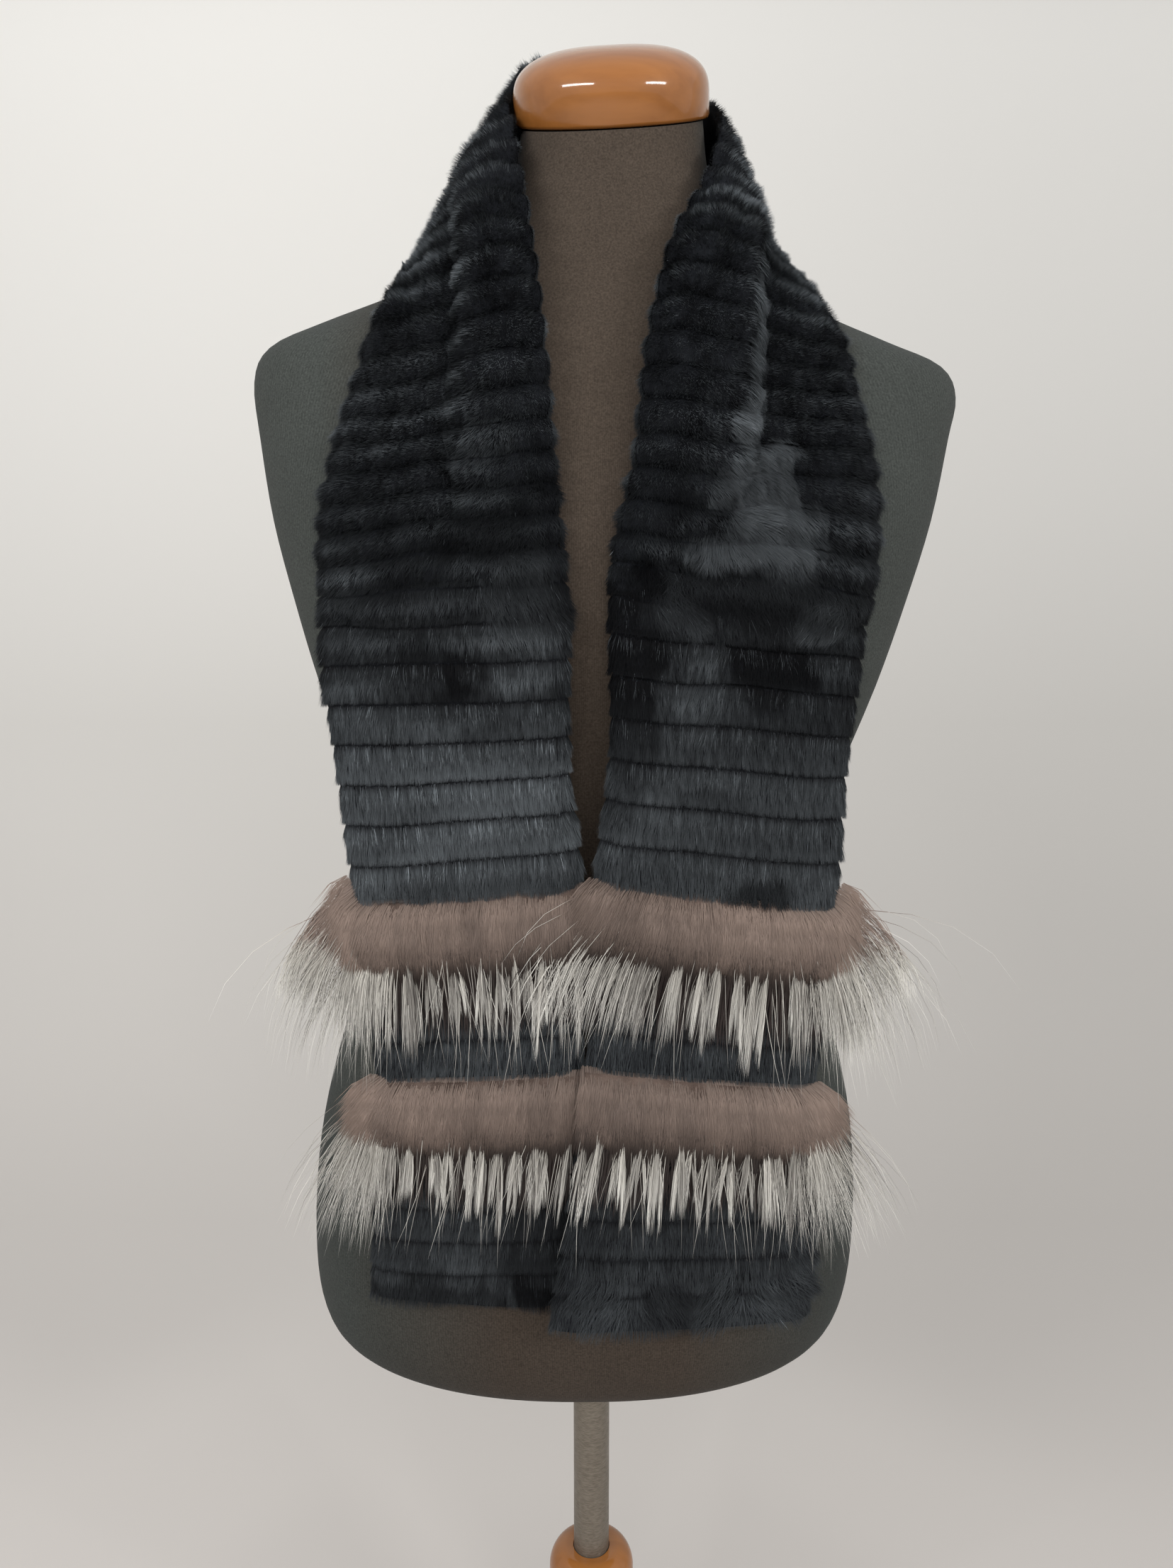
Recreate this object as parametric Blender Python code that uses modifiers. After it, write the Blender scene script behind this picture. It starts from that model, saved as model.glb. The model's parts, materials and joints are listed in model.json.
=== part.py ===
"""A fur scarf worn on a dress form that stands on a short turned foot.

Metres, +Z up, the front towards -Y and the viewer's right towards +X. The origin is the
middle of the foot's flat underside. "left" and "right" are as the viewer sees them.

The scarf is one long run of narrow sheared-fur strips sewn edge to edge, with two bands
of long-haired fox let into each end. It passes round the back of the neck, where its
inner edge stands up, and both ends hang down the front.
"""

import math
from collections import namedtuple

import bmesh
import bpy
import numpy as np
from mathutils import Vector
from mathutils.bvhtree import BVHTree

# ---------------------------------------------------------------- driving dimensions
SEAM_GAP = 0.0003  # between neighbouring pieces

FOOT_RADIUS = 0.160
FOOT_HEIGHT = 0.024
HUB_RADIUS = 0.030
HUB_HEIGHT = 0.191
POLE_RADIUS = 0.0125
SOCKET_DEPTH = 0.060  # how far the pole runs into the hub and into the torso
FIT_GAP = 0.0005  # round the pole

LEAN = 0.024  # the torso leans this much towards +X for each metre of height
LEAN_LEVEL = 0.69  # the height at which the torso's middle is over the pole
TORSO_SIDES = 36
SECTION_POWER = 2.3  # 2 is an ellipse, and more is boxier
REST_GAP = 0.0009  # between the scarf's back and the form
SETTLE_ROUNDS = 4  # passes that lift the scarf's inner faces off the form

NECK_TILT = math.radians(22)  # the neck's top plane and its cap tip forward
NECK_ROLL = math.radians(3)  # and rise a little towards +X
CAP_RADIUS = 0.0570
CAP_DEPTH_SCALE = 1.05
CAP_WALL = 0.012
CAP_HEIGHT = 0.039
CAP_STEPS = 36
CAP_POWER = 2.7  # 2 is a round dome, and more is flatter on top

NECK_STRIPS = 9  # on each side, in the piece behind the neck
# The falls' edges, as shares of the way from the back of the neck to the first fox band.
# Their strips are narrowest on the upper chest.
FALL_EDGES = {
    -1: (
        0.342, 0.379, 0.409, 0.441, 0.475, 0.507, 0.538,
        0.566, 0.594, 0.622, 0.649, 0.677, 0.707, 0.740,
        0.778, 0.816, 0.853, 0.890, 0.927, 0.965, 1.0,
    ),
    1: (
        0.325, 0.360, 0.393, 0.426, 0.457, 0.486, 0.5145,
        0.543, 0.573, 0.602, 0.632, 0.664, 0.693, 0.724,
        0.759, 0.798, 0.837, 0.876, 0.916, 0.958, 1.0,
    ),
}
MIDDLE_STRIPS = 3
END_STRIPS = 5
MIDDLE_STRIP = 0.0218  # width of a strip between the fox bands
FUR_ROOT = 0.0062  # thickness of the wall in the groove between two strips
FUR_RISE = 0.0052  # how far a strip's fur stands above the groove
PRESSED_RISE = 0.0028  # the same where long fox hair lies on it
STRIP_FLARE = 0.0028  # how far a strip's ends bulge past the groove

FOX_PELT = 0.038  # width of the fox skin that is let into the scarf
FOX_DROP = 0.049  # how far down the dense underfur reaches
FOX_HAIR = 0.096  # and the long hair
FOX_LIFT = 0.0245  # the underfur's greatest thickness
HAIR_CLEAR = 0.0122  # the long hair's back, off the scarf's back
LOCK_WIDTH = 0.0062
LOCK_THICKNESS = 0.0036

# ------------------------------------------------------------------ tables of sections
# tip is a level's share of the neck's tilt, and slope its rise for each metre towards +X.
Level = namedtuple("Level", "z half_width front back tip slope")
TORSO_LEVELS = (
    Level(0.4080, 0.1490, 0.0950, 0.099, 0.0, 0.0),
    Level(0.4130, 0.1625, 0.1090, 0.113, 0.0, 0.0),
    Level(0.4270, 0.1725, 0.1190, 0.123, 0.0, 0.0),
    Level(0.4560, 0.1780, 0.1250, 0.130, 0.0, 0.0),
    Level(0.5050, 0.1780, 0.1245, 0.129, 0.0, 0.0),
    Level(0.5550, 0.1725, 0.1180, 0.121, 0.0, 0.0),
    Level(0.6050, 0.1608, 0.1070, 0.106, 0.0, 0.0),
    Level(0.6600, 0.1450, 0.0980, 0.090, 0.0, 0.0),
    Level(0.7100, 0.1380, 0.0940, 0.082, 0.0, 0.0),
    Level(0.7650, 0.1460, 0.0990, 0.085, 0.0, 0.0),
    Level(0.8350, 0.1690, 0.1120, 0.093, 0.0, 0.0),
    Level(0.8840, 0.1826, 0.1200, 0.098, 0.0, 0.0),
    Level(0.9320, 0.1956, 0.1160, 0.101, 0.0, 0.0),
    Level(0.9790, 0.2050, 0.1010, 0.102, 0.0, 0.0),
    Level(1.0080, 0.2092, 0.0900, 0.098, 0.0, -0.022),
    Level(1.0255, 0.2010, 0.0835, 0.094, 0.0, -0.028),
    Level(1.0375, 0.1735, 0.0780, 0.091, 0.0, -0.035),
    Level(1.0545, 0.1290, 0.0705, 0.086, 0.0, -0.040),
    Level(1.0730, 0.0940, 0.0635, 0.0815, 0.0, -0.035),
    Level(1.0935, 0.0720, 0.0565, 0.0770, 0.0, -0.010),
    Level(1.1160, 0.0615, 0.0510, 0.0725, 0.2, 0.0),
    Level(1.1390, 0.0560, 0.0470, 0.0680, 0.6, 0.0),
    Level(1.1620, 0.0530, 0.0450, 0.0650, 1.0, 0.0),
)

# The scarf's back at each station, from the left end round the neck to the right end.
# inner is the edge beside the throat, which stands up behind the neck, and outer the
# edge on the shoulder. fold is the height of the lengthwise fold beside the inner edge
# and fold_end where it drops away, as a share of the width. bow is how far the middle
# stands out between the two edges.
Station = namedtuple("Station", "inner outer fold fold_end bow")
STATIONS = (
    Station((-0.0225, -0.124, 0.491), (-0.1276, -0.108, 0.487), 0.000, 0.33, 0.003),
    Station((-0.0077, -0.127, 0.634), (-0.1200, -0.113, 0.624), 0.000, 0.33, 0.003),
    Station((-0.0075, -0.126, 0.739), (-0.1289, -0.112, 0.726), 0.000, 0.33, 0.003),
    Station((-0.0136, -0.126, 0.797), (-0.1356, -0.106, 0.786), 0.000, 0.34, 0.003),
    Station((-0.0141, -0.126, 0.857), (-0.1450, -0.092, 0.849), 0.001, 0.36, 0.003),
    Station((-0.0158, -0.125, 0.897), (-0.1450, -0.084, 0.891), 0.003, 0.38, 0.003),
    Station((-0.0211, -0.117, 0.943), (-0.1385, -0.081, 0.936), 0.006, 0.38, 0.003),
    Station((-0.0248, -0.105, 0.994), (-0.1300, -0.078, 0.981), 0.010, 0.36, 0.003),
    Station((-0.0291, -0.089, 1.034), (-0.1195, -0.072, 1.012), 0.013, 0.33, 0.004),
    Station((-0.0328, -0.075, 1.070), (-0.1080, -0.048, 1.046), 0.013, 0.32, 0.007),
    Station((-0.0364, -0.055, 1.105), (-0.1040, -0.011, 1.060), 0.009, 0.32, 0.011),
    Station((-0.0435, -0.018, 1.148), (-0.0990, 0.030, 1.066), 0.003, 0.32, 0.012),
    Station((-0.0440, 0.034, 1.190), (-0.0820, 0.060, 1.061), 0.000, 0.32, 0.008),
    Station((-0.0310, 0.067, 1.215), (-0.0490, 0.084, 1.059), 0.000, 0.32, 0.003),
    Station((0.0090, 0.084, 1.214), (0.0090, 0.090, 1.058), 0.000, 0.32, 0.000),
    Station((0.0530, 0.067, 1.198), (0.0640, 0.084, 1.059), 0.000, 0.36, 0.000),
    Station((0.0715, 0.030, 1.174), (0.0930, 0.058, 1.064), 0.000, 0.40, 0.001),
    Station((0.0700, -0.014, 1.145), (0.1060, 0.030, 1.068), 0.003, 0.43, 0.001),
    Station((0.0580, -0.046, 1.108), (0.1125, -0.010, 1.062), 0.010, 0.44, 0.004),
    Station((0.0441, -0.067, 1.076), (0.1230, -0.048, 1.045), 0.014, 0.45, 0.004),
    Station((0.0360, -0.082, 1.044), (0.1315, -0.068, 1.023), 0.016, 0.44, 0.003),
    Station((0.0289, -0.098, 1.010), (0.1366, -0.076, 0.996), 0.014, 0.43, 0.003),
    Station((0.0223, -0.116, 0.956), (0.1440, -0.080, 0.946), 0.009, 0.41, 0.003),
    Station((0.0116, -0.125, 0.908), (0.1453, -0.084, 0.892), 0.003, 0.38, 0.003),
    Station((0.0103, -0.126, 0.869), (0.1431, -0.092, 0.854), 0.001, 0.36, 0.003),
    Station((0.0102, -0.126, 0.806), (0.1349, -0.106, 0.791), 0.000, 0.34, 0.003),
    Station((0.0028, -0.126, 0.741), (0.1316, -0.112, 0.722), 0.000, 0.33, 0.003),
    Station((-0.0015, -0.130, 0.638), (0.1233, -0.113, 0.621), 0.000, 0.33, 0.003),
    Station((-0.0220, -0.145, 0.488), (0.1248, -0.108, 0.472), 0.000, 0.33, 0.003),
)
BACK_STATION = 14
FOX_STATION = {-1: 2, 1: 26}  # where the first fox band's seam is, on each side
HEM_STATION = {-1: 0, 1: 28}
EDGE_THICKNESS = (0.45, 0.80, 1.0, 1.0, 1.0, 1.0, 1.0, 0.85, 0.45)  # for each column

# A strip's outer rows between its two grooves, along from its near to its far edge.
RibRow = namedtuple("RibRow", "along rise")
RIB_ROWS = (RibRow(0.20, 0.75), RibRow(0.84, 1.0))

# The fox underfur's section: how far down from its top seam, and how far off the back.
FurPoint = namedtuple("FurPoint", "down off")
FOX_SECTION = (
    FurPoint(0.0, 0.0),
    FurPoint(0.0, 0.0080),
    FurPoint(0.006, 0.0150),
    FurPoint(0.020, 0.0215),
    FurPoint(0.036, FOX_LIFT),
    FurPoint(0.044, 0.0235),
    FurPoint(FOX_DROP, 0.0190),
    FurPoint(FOX_DROP - 0.001, HAIR_CLEAR + 0.0012),
    FurPoint(FOX_PELT, HAIR_CLEAR),
    FurPoint(FOX_PELT - SEAM_GAP, 0.0),
)

# One fox band: its lock count, the columns' reach past the scarf's edges as shares of
# the width, and the lean of the outermost and innermost locks from straight down.
FoxBand = namedtuple("FoxBand", "locks inner_reach outer_reach outer_fan inner_fan first")
FOX_BANDS = {
    ("left", "upper"): FoxBand(27, -0.03, 1.12, 60, 3, 0.04),
    ("left", "lower"): FoxBand(25, -0.02, 1.11, 34, 0, 0.12),
    ("right", "upper"): FoxBand(28, -0.03, 1.12, 60, 8, 0.04),
    ("right", "lower"): FoxBand(27, -0.02, 1.11, 34, 0, 0.05),
}


# ------------------------------------------------------------------- helpers
def material(name, colour, roughness, metallic=0.0):
    """A plain Principled material in the piece's own colour."""
    made = bpy.data.materials.new(name)
    made.use_nodes = True
    shader = made.node_tree.nodes["Principled BSDF"]
    shader.inputs["Base Color"].default_value = (*colour, 1.0)
    shader.inputs["Roughness"].default_value = roughness
    shader.inputs["Metallic"].default_value = metallic
    return made


def add_object(name, mesh, look, collection):
    """A named object of this mesh, shaded smooth with its sharp edges kept."""
    made = bpy.data.objects.new(name, mesh)
    collection.objects.link(made)
    mesh.materials.append(look)
    mesh.shade_smooth()
    mesh.set_sharp_from_angle(angle=math.radians(40))
    return made


def mesh_of(name, points, faces):
    """A mesh of these points and faces, with its normals facing out."""
    mesh = bpy.data.meshes.new(name)
    mesh.from_pydata([tuple(map(float, point)) for point in points], [], faces)
    shape = bmesh.new()
    shape.from_mesh(mesh)
    bmesh.ops.recalc_face_normals(shape, faces=shape.faces)
    shape.to_mesh(mesh)
    shape.free()
    return mesh


def loft(name, rings):
    """A closed skin through rings of equal length, with a fan over each end."""
    count = len(rings[0])
    points = [point for ring in rings for point in ring]
    faces = []
    for row in range(len(rings) - 1):
        for side in range(count):
            here, beside = row * count + side, row * count + (side + 1) % count
            faces.append((here, beside, beside + count, here + count))
    for row in (0, len(rings) - 1):
        middle = len(points)
        points.append(np.mean(rings[row], axis=0))
        for side in range(count):
            faces.append((row * count + side, row * count + (side + 1) % count, middle))
    return mesh_of(name, points, faces)


def turned(name, profile, steps, look, collection):
    """A solid of revolution about Z from (radius, height) points, top to bottom."""
    mesh = bpy.data.meshes.new(name)
    corners = [(radius, 0.0, height) for radius, height in profile]
    edges = [(i, i + 1) for i in range(len(corners) - 1)]
    mesh.from_pydata(corners, edges, [])
    made = bpy.data.objects.new(name, mesh)
    collection.objects.link(made)
    mesh.materials.append(look)
    screw = made.modifiers.new("Turned", "SCREW")
    screw.steps = screw.render_steps = steps
    screw.use_merge_vertices = True
    screw.merge_threshold = 0.00005
    screw.use_smooth_shade = True
    return made


def arc(centre, radii, start, end, steps):
    """Points on an ellipse's arc, with angles in degrees from +X."""
    angles = np.radians(np.linspace(start, end, steps))
    return [
        (centre[0] + radii[0] * math.cos(a), centre[1] + radii[1] * math.sin(a))
        for a in angles
    ]


def crown(centre, radii, power, start, steps):
    """Points down a dome's side, from an angle in degrees to 0, boxier than an ellipse."""
    angles = np.radians(np.linspace(start, 0, steps))
    bend = 2 / power
    return [
        (centre[0] + radii[0] * math.cos(a) ** bend, centre[1] + radii[1] * math.sin(a) ** bend)
        for a in angles
    ]


# ------------------------------------------------------------------- the form
def centre_x(z):
    """The torso's middle at a height."""
    return LEAN * (z - LEAN_LEVEL)


def torso_ring(level):
    """The points round the torso at one level, tipped by its share of the neck's tilt."""
    half_depth = (level.front + level.back) / 2
    middle_y = (level.back - level.front) / 2
    rise_y = math.tan(NECK_TILT * level.tip)
    rise_x = math.tan(NECK_ROLL * level.tip) + level.slope
    ring = []
    for side in range(TORSO_SIDES):
        angle = 2 * math.pi * side / TORSO_SIDES
        across, along = math.cos(angle), math.sin(angle)
        bend = 2 / SECTION_POWER
        x = math.copysign(abs(across) ** bend, across) * level.half_width
        y = math.copysign(abs(along) ** bend, along) * half_depth
        z = level.z + rise_y * y + rise_x * x
        ring.append((centre_x(level.z) + x, middle_y + y, z))
    return ring


def socket_ring(radius, z):
    """A round ring on the pole's axis with the torso's number of sides."""
    angles = [2 * math.pi * side / TORSO_SIDES for side in range(TORSO_SIDES)]
    return [(radius * math.cos(a), radius * math.sin(a), z) for a in angles]


def add_torso(look, collection):
    """The jersey-covered bust, with a blind socket for the pole in its underside."""
    bottom = TORSO_LEVELS[0].z
    bore = POLE_RADIUS + FIT_GAP
    rings = [socket_ring(bore, bottom + SOCKET_DEPTH), socket_ring(bore, bottom)]
    rings += [torso_ring(level) for level in TORSO_LEVELS]
    return add_object("torso", loft("torso", rings), look, collection)


def add_neck_cap(look, collection):
    """The turned wooden cap that closes the neck."""
    dome = CAP_HEIGHT - CAP_WALL
    profile = [(0.0, CAP_HEIGHT)]
    profile += crown((0.0, CAP_WALL), (CAP_RADIUS, dome), CAP_POWER, 74, 8)
    profile += [(CAP_RADIUS, 0.0015), (CAP_RADIUS - 0.0015, 0.0), (0.0, 0.0)]
    cap = turned("neck_cap", profile, CAP_STEPS, look, collection)
    top = TORSO_LEVELS[-1]
    cap.scale = (1.0, CAP_DEPTH_SCALE, 1.0)
    cap.rotation_euler = (NECK_TILT, -NECK_ROLL, 0.0)
    lift = 2 * SEAM_GAP
    cap.location = (centre_x(top.z), (top.back - top.front) / 2, top.z + lift)
    return cap


def add_stand(wood, metal, collection):
    """The pole, the turned hub that grips it and the round foot."""
    hub_top = FOOT_HEIGHT + HUB_HEIGHT
    bore = POLE_RADIUS + FIT_GAP
    foot = [(0.0, FOOT_HEIGHT), (0.060, FOOT_HEIGHT), (0.125, FOOT_HEIGHT - 0.004)]
    foot += arc((FOOT_RADIUS - 0.009, 0.009), (0.009, 0.009), 70, 0, 4)
    foot += [(FOOT_RADIUS, 0.002), (FOOT_RADIUS - 0.002, 0.0), (0.0, 0.0)]
    turned("stand_foot", foot, 40, wood, collection)

    base = FOOT_HEIGHT + SEAM_GAP
    hub = [(0.0, hub_top - SOCKET_DEPTH), (bore, hub_top - SOCKET_DEPTH)]
    hub += [(bore, hub_top)]
    hub += arc((HUB_RADIUS - 0.013, hub_top - 0.016), (0.013, 0.016), 90, 0, 5)
    hub += [(HUB_RADIUS + 0.003, base + 0.050)]
    hub += arc((0.058, base + 0.042), (0.025, 0.034), 170, 255, 5)
    hub += [(0.054, base + 0.004), (0.052, base), (0.0, base)]
    turned("stand_hub", hub, 32, wood, collection)

    low = hub_top - SOCKET_DEPTH + SEAM_GAP
    high = TORSO_LEVELS[0].z + SOCKET_DEPTH - SEAM_GAP
    bpy.ops.mesh.primitive_cylinder_add(
        vertices=28,
        radius=POLE_RADIUS,
        depth=high - low,
        location=(0.0, 0.0, (high + low) / 2),
    )
    pole = bpy.context.object
    pole.name = "stand_pole"
    for owner in pole.users_collection:
        owner.objects.unlink(pole)
    collection.objects.link(pole)
    pole.data.materials.append(metal)
    pole.data.shade_smooth()
    pole.data.set_sharp_from_angle(angle=math.radians(40))


# ------------------------------------------------------------------- the scarf's back
def spline(values, place):
    """A smooth curve through equally spaced values, at fractional places."""
    values = np.asarray(values, float)
    place = np.asarray(place, float)
    low = np.clip(np.floor(place).astype(int), 0, len(values) - 2)
    part = (place - low).reshape(-1, *[1] * (values.ndim - 1))
    ends = np.concatenate([2 * values[:1] - values[1:2], values, 2 * values[-1:] - values[-2:-1]])
    a, b, c, d = (ends[low + step] for step in range(4))
    return 0.5 * (
        2 * b
        + (c - a) * part
        + (2 * a - 5 * b + 4 * c - d) * part**2
        + (3 * b - a - 3 * c + d) * part**3
    )


def run_lengths():
    """Fine places along the stations and their distance from the back of the neck."""
    places = np.linspace(0, len(STATIONS) - 1, 1200)
    inner = spline([station.inner for station in STATIONS], places)
    outer = spline([station.outer for station in STATIONS], places)
    steps = np.linalg.norm(np.diff((inner + outer) / 2, axis=0), axis=1)
    lengths = np.concatenate([[0.0], np.cumsum(steps)])
    return places, lengths - np.interp(BACK_STATION, places, lengths)


PLACES, LENGTHS = run_lengths()
REST_ON = []  # a search tree for each piece of the form that the scarf keeps clear of


def rest_on(form):
    """Remembers a piece of the form, so that the scarf keeps clear of it."""
    shape = bmesh.new()
    shape.from_object(form, bpy.context.evaluated_depsgraph_get())
    bmesh.ops.transform(shape, matrix=form.matrix_world, verts=shape.verts)
    bmesh.ops.recalc_face_normals(shape, faces=shape.faces)
    REST_ON.append(BVHTree.FromBMesh(shape))
    shape.free()


def gap_to(tree, point):
    """The signed gap from a piece of the form, its nearest point and the facing there."""
    spot, facing, _, distance = tree.find_nearest(point)
    inside = (point - spot).dot(facing) < -0.5 * distance
    return (-distance if inside else distance), spot, facing


def keep_clear(grid):
    """Moves points that lie in the form, or too near it, out to its surface."""
    moved = grid.reshape(-1, 3).copy()
    for tree in REST_ON * 2:
        for index, point in enumerate(moved):
            gap, spot, facing = gap_to(tree, Vector(point))
            if gap < REST_GAP:
                moved[index] = spot + facing * REST_GAP
    return moved.reshape(grid.shape)


def shortfall(points):
    """How much nearer than the rest gap each point is to the form."""
    short = np.zeros(points.shape[:-1])
    for tree in REST_ON:
        for index in np.ndindex(short.shape):
            gap, _, _ = gap_to(tree, Vector(points[index]))
            short[index] = max(short[index], REST_GAP - gap)
    return short


def settled(grid, facing):
    """Moves a grid out along its facing until its faces, too, are clear of the form."""
    moved = grid.copy()
    corners = [(slice(None, -1), slice(None, -1)), (slice(1, None), slice(None, -1))]
    corners += [(slice(None, -1), slice(1, None)), (slice(1, None), slice(1, None))]
    for _ in range(SETTLE_ROUNDS):
        for down, across in ((0.5, 0.5), (0.5, 0.0), (0.0, 0.5), (0.5, 1.0), (1.0, 0.5)):
            weights = ((1 - down) * (1 - across), down * (1 - across))
            weights += ((1 - down) * across, down * across)
            spots = sum(weight * moved[corner] for weight, corner in zip(weights, corners))
            short = shortfall(spots)[..., None]
            for weight, corner in zip(weights, corners):
                if weight > 0:
                    moved[corner] += short * facing[corner]
    return moved


def normals_of(grid):
    """Unit normals of a grid of points, facing away from the form."""
    down, across = np.gradient(grid, axis=0), np.gradient(grid, axis=1)
    normal = np.cross(down, across)
    return normal / np.linalg.norm(normal, axis=-1, keepdims=True)


def wall_shares(distances):
    """The columns across the wall at each distance, closer together at the fold."""
    places = np.interp(distances, LENGTHS, PLACES)
    end = spline([station.fold_end for station in STATIONS], places)
    past = end + 0.07
    step = (0.92 - past) / 3
    columns = (0 * end, 0.03 + 0 * end, 0.45 * end, 0.86 * end, past)
    columns += (past + step, past + 2 * step, 0.92 + 0 * end, 1.0 + 0 * end)
    return np.stack(columns, axis=1)


def back_grid(distances, shares):
    """The scarf's back and its facing, at signed distances from the back of the neck.

    shares has a row for each distance and a column for each place across the width.
    """
    places = np.interp(distances, LENGTHS, PLACES)
    inner = spline([station.inner for station in STATIONS], places)[:, None]
    outer = spline([station.outer for station in STATIONS], places)[:, None]
    fold = spline([station.fold for station in STATIONS], places)[:, None]
    end = spline([station.fold_end for station in STATIONS], places)[:, None]
    flat = inner + (outer - inner) * shares[..., None]
    facing = normals_of(flat)
    inside = np.clip(shares, 0.0, 1.0)
    swell = 0.4 + 0.6 * np.minimum(inside / (0.4 * end), 1.0)
    drop = np.clip((end + 0.07 - inside) / (0.14 * end + 0.07), 0.0, 1.0)
    bow = spline([station.bow for station in STATIONS], places)[:, None]
    lift = fold * swell * drop + bow * 4 * inside * (1 - inside)
    return keep_clear(flat + facing * lift[..., None]), facing


# ------------------------------------------------------------------- the fur walls
def length_at(station):
    """The signed distance from the back of the neck to a station."""
    return float(np.interp(station, PLACES, LENGTHS))


def even_edges(start, end, strips):
    """The edges of several strips of equal width."""
    return [float(edge) for edge in np.linspace(start, end, strips + 1)]


def fall_edges(side, fox):
    """The strips' edges from the back of the neck to the first fox band, at distance fox."""
    first = FALL_EDGES[side][0]
    shares = [first * edge / NECK_STRIPS for edge in range(NECK_STRIPS)]
    return [fox * share for share in (*shares, *FALL_EDGES[side])]


def seams(side):
    """The strips' edges in each piece on one side, and where each fox band starts."""
    fox, hem = length_at(FOX_STATION[side]), length_at(HEM_STATION[side])
    fall = fall_edges(side, fox)
    middle_start = fox + side * FOX_PELT
    middle_end = middle_start + side * MIDDLE_STRIPS * MIDDLE_STRIP
    return {
        "neck": fall[: NECK_STRIPS + 1],
        "fall": fall[NECK_STRIPS:],
        "upper": fox,
        "middle": even_edges(middle_start, middle_end, MIDDLE_STRIPS),
        "lower": middle_end,
        "end": even_edges(middle_end + side * FOX_PELT, hem, END_STRIPS),
    }


def strip_rows(edges, rise):
    """(distance, rise) of the outer rows of strips, whose edges are in rising order.

    Each strip's fur lies away from the back of the neck, and is highest at its far edge.
    """
    rows = [(edges[0], 0.0)]
    for low, high in zip(edges, edges[1:]):
        near, far = (low, high) if low >= 0 else (high, low)
        strip = [(near + (far - near) * row.along, rise * row.rise) for row in RIB_ROWS]
        rows += sorted(strip) + [(high, 0.0)]
    return rows


def add_wall(name, edges, rise, look, collection):
    """A wall of sheared fur: ribbed outside, plain inside, closed at its four edges.

    edges are the strips' signed distances from the back of the neck.
    """
    rows = strip_rows(sorted(edges), rise)
    distances = np.array([distance for distance, _ in rows])
    distances[0] += SEAM_GAP / 2
    distances[-1] -= SEAM_GAP / 2
    rises = np.array([height for _, height in rows])
    back, facing = back_grid(distances, wall_shares(distances))
    thickness = (FUR_ROOT + rises)[:, None] * np.array(EDGE_THICKNESS)[None, :]
    outer = keep_clear(flared(back + facing * thickness[..., None], rises / rise))
    kept = list(range(0, len(rows), len(RIB_ROWS) + 1))
    mesh = wall_mesh(name, outer, settled(back[kept], facing[kept]), kept)
    return add_object(name, mesh, look, collection)


def flared(outer, rises):
    """Each strip's ends bulge sideways a little past the groove."""
    across = outer[:, -1] - outer[:, 0]
    across /= np.linalg.norm(across, axis=1, keepdims=True)
    reach = (STRIP_FLARE * rises)[:, None] * across
    moved = outer.copy()
    for column, share in ((0, -1.0), (1, -0.6), (-2, 0.6), (-1, 1.0)):
        moved[:, column] += share * reach
    return moved


def wall_mesh(name, outer, inner, kept):
    """Closes an outer grid and a coarser inner one.

    kept lists the outer rows that the inner rows face.
    """
    rows, columns = outer.shape[:2]
    points = np.concatenate([outer.reshape(-1, 3), inner.reshape(-1, 3)])
    start = rows * columns
    faces = []
    for row in range(rows - 1):
        for column in range(columns - 1):
            here = row * columns + column
            faces.append((here, here + 1, here + columns + 1, here + columns))
    for row in range(len(kept) - 1):
        for column in range(columns - 1):
            here = start + row * columns + column
            faces.append((here, here + columns, here + columns + 1, here + 1))
    for column in (0, columns - 1):
        for row in range(len(kept) - 1):
            low = start + row * columns + column
            high = low + columns
            for step in range(kept[row], kept[row + 1]):
                faces.append((low, step * columns + column, (step + 1) * columns + column))
            faces.append((low, kept[row + 1] * columns + column, high))
    for outer_row, inner_row in ((0, 0), (rows - 1, len(kept) - 1)):
        for column in range(columns - 1):
            top, low = outer_row * columns + column, start + inner_row * columns + column
            faces.append((top, top + 1, low + 1, low))
    return mesh_of(name, points, faces)


# ------------------------------------------------------------------- the fox bands
def fox_frame(side, top, downs, shares):
    """Back points and facings below a band's top seam, indexed [down][share]."""
    downs = list(downs)
    distances = np.array([top + side * down for down in downs])
    order = slice(None) if side > 0 else slice(None, None, -1)
    across = np.tile(np.asarray(shares, float), (len(downs), 1))
    points, facing = back_grid(distances[order], across)
    return points[order], facing[order]


def fox_underfur(name, side, top, band):
    """The dense underfur: one plump section carried across the scarf."""
    middle = np.linspace(0.10, 0.90, 7)
    ends = (band.outer_reach - 0.05, band.outer_reach)
    shares = [band.inner_reach, band.inner_reach + 0.04, *middle, *ends]
    plump = [0.30, 0.85, *[1.0] * len(middle), 0.85, 0.30]
    downs = np.linspace(0.0, FOX_DROP, 11)
    points, facing = fox_frame(side, top + side * SEAM_GAP / 2, downs, shares)
    rings = []
    for column, fat in enumerate(plump):
        ring = []
        for spot in FOX_SECTION:
            place = [np.interp(spot.down, downs, points[:, column, axis]) for axis in range(3)]
            out = [np.interp(spot.down, downs, facing[:, column, axis]) for axis in range(3)]
            least = min(spot.off, HAIR_CLEAR + 0.0030)
            off = least + (spot.off - least) * fat
            ring.append(np.array(place) + np.array(out) * off)
        rings.append(ring)
    return loft(name, rings)


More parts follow.
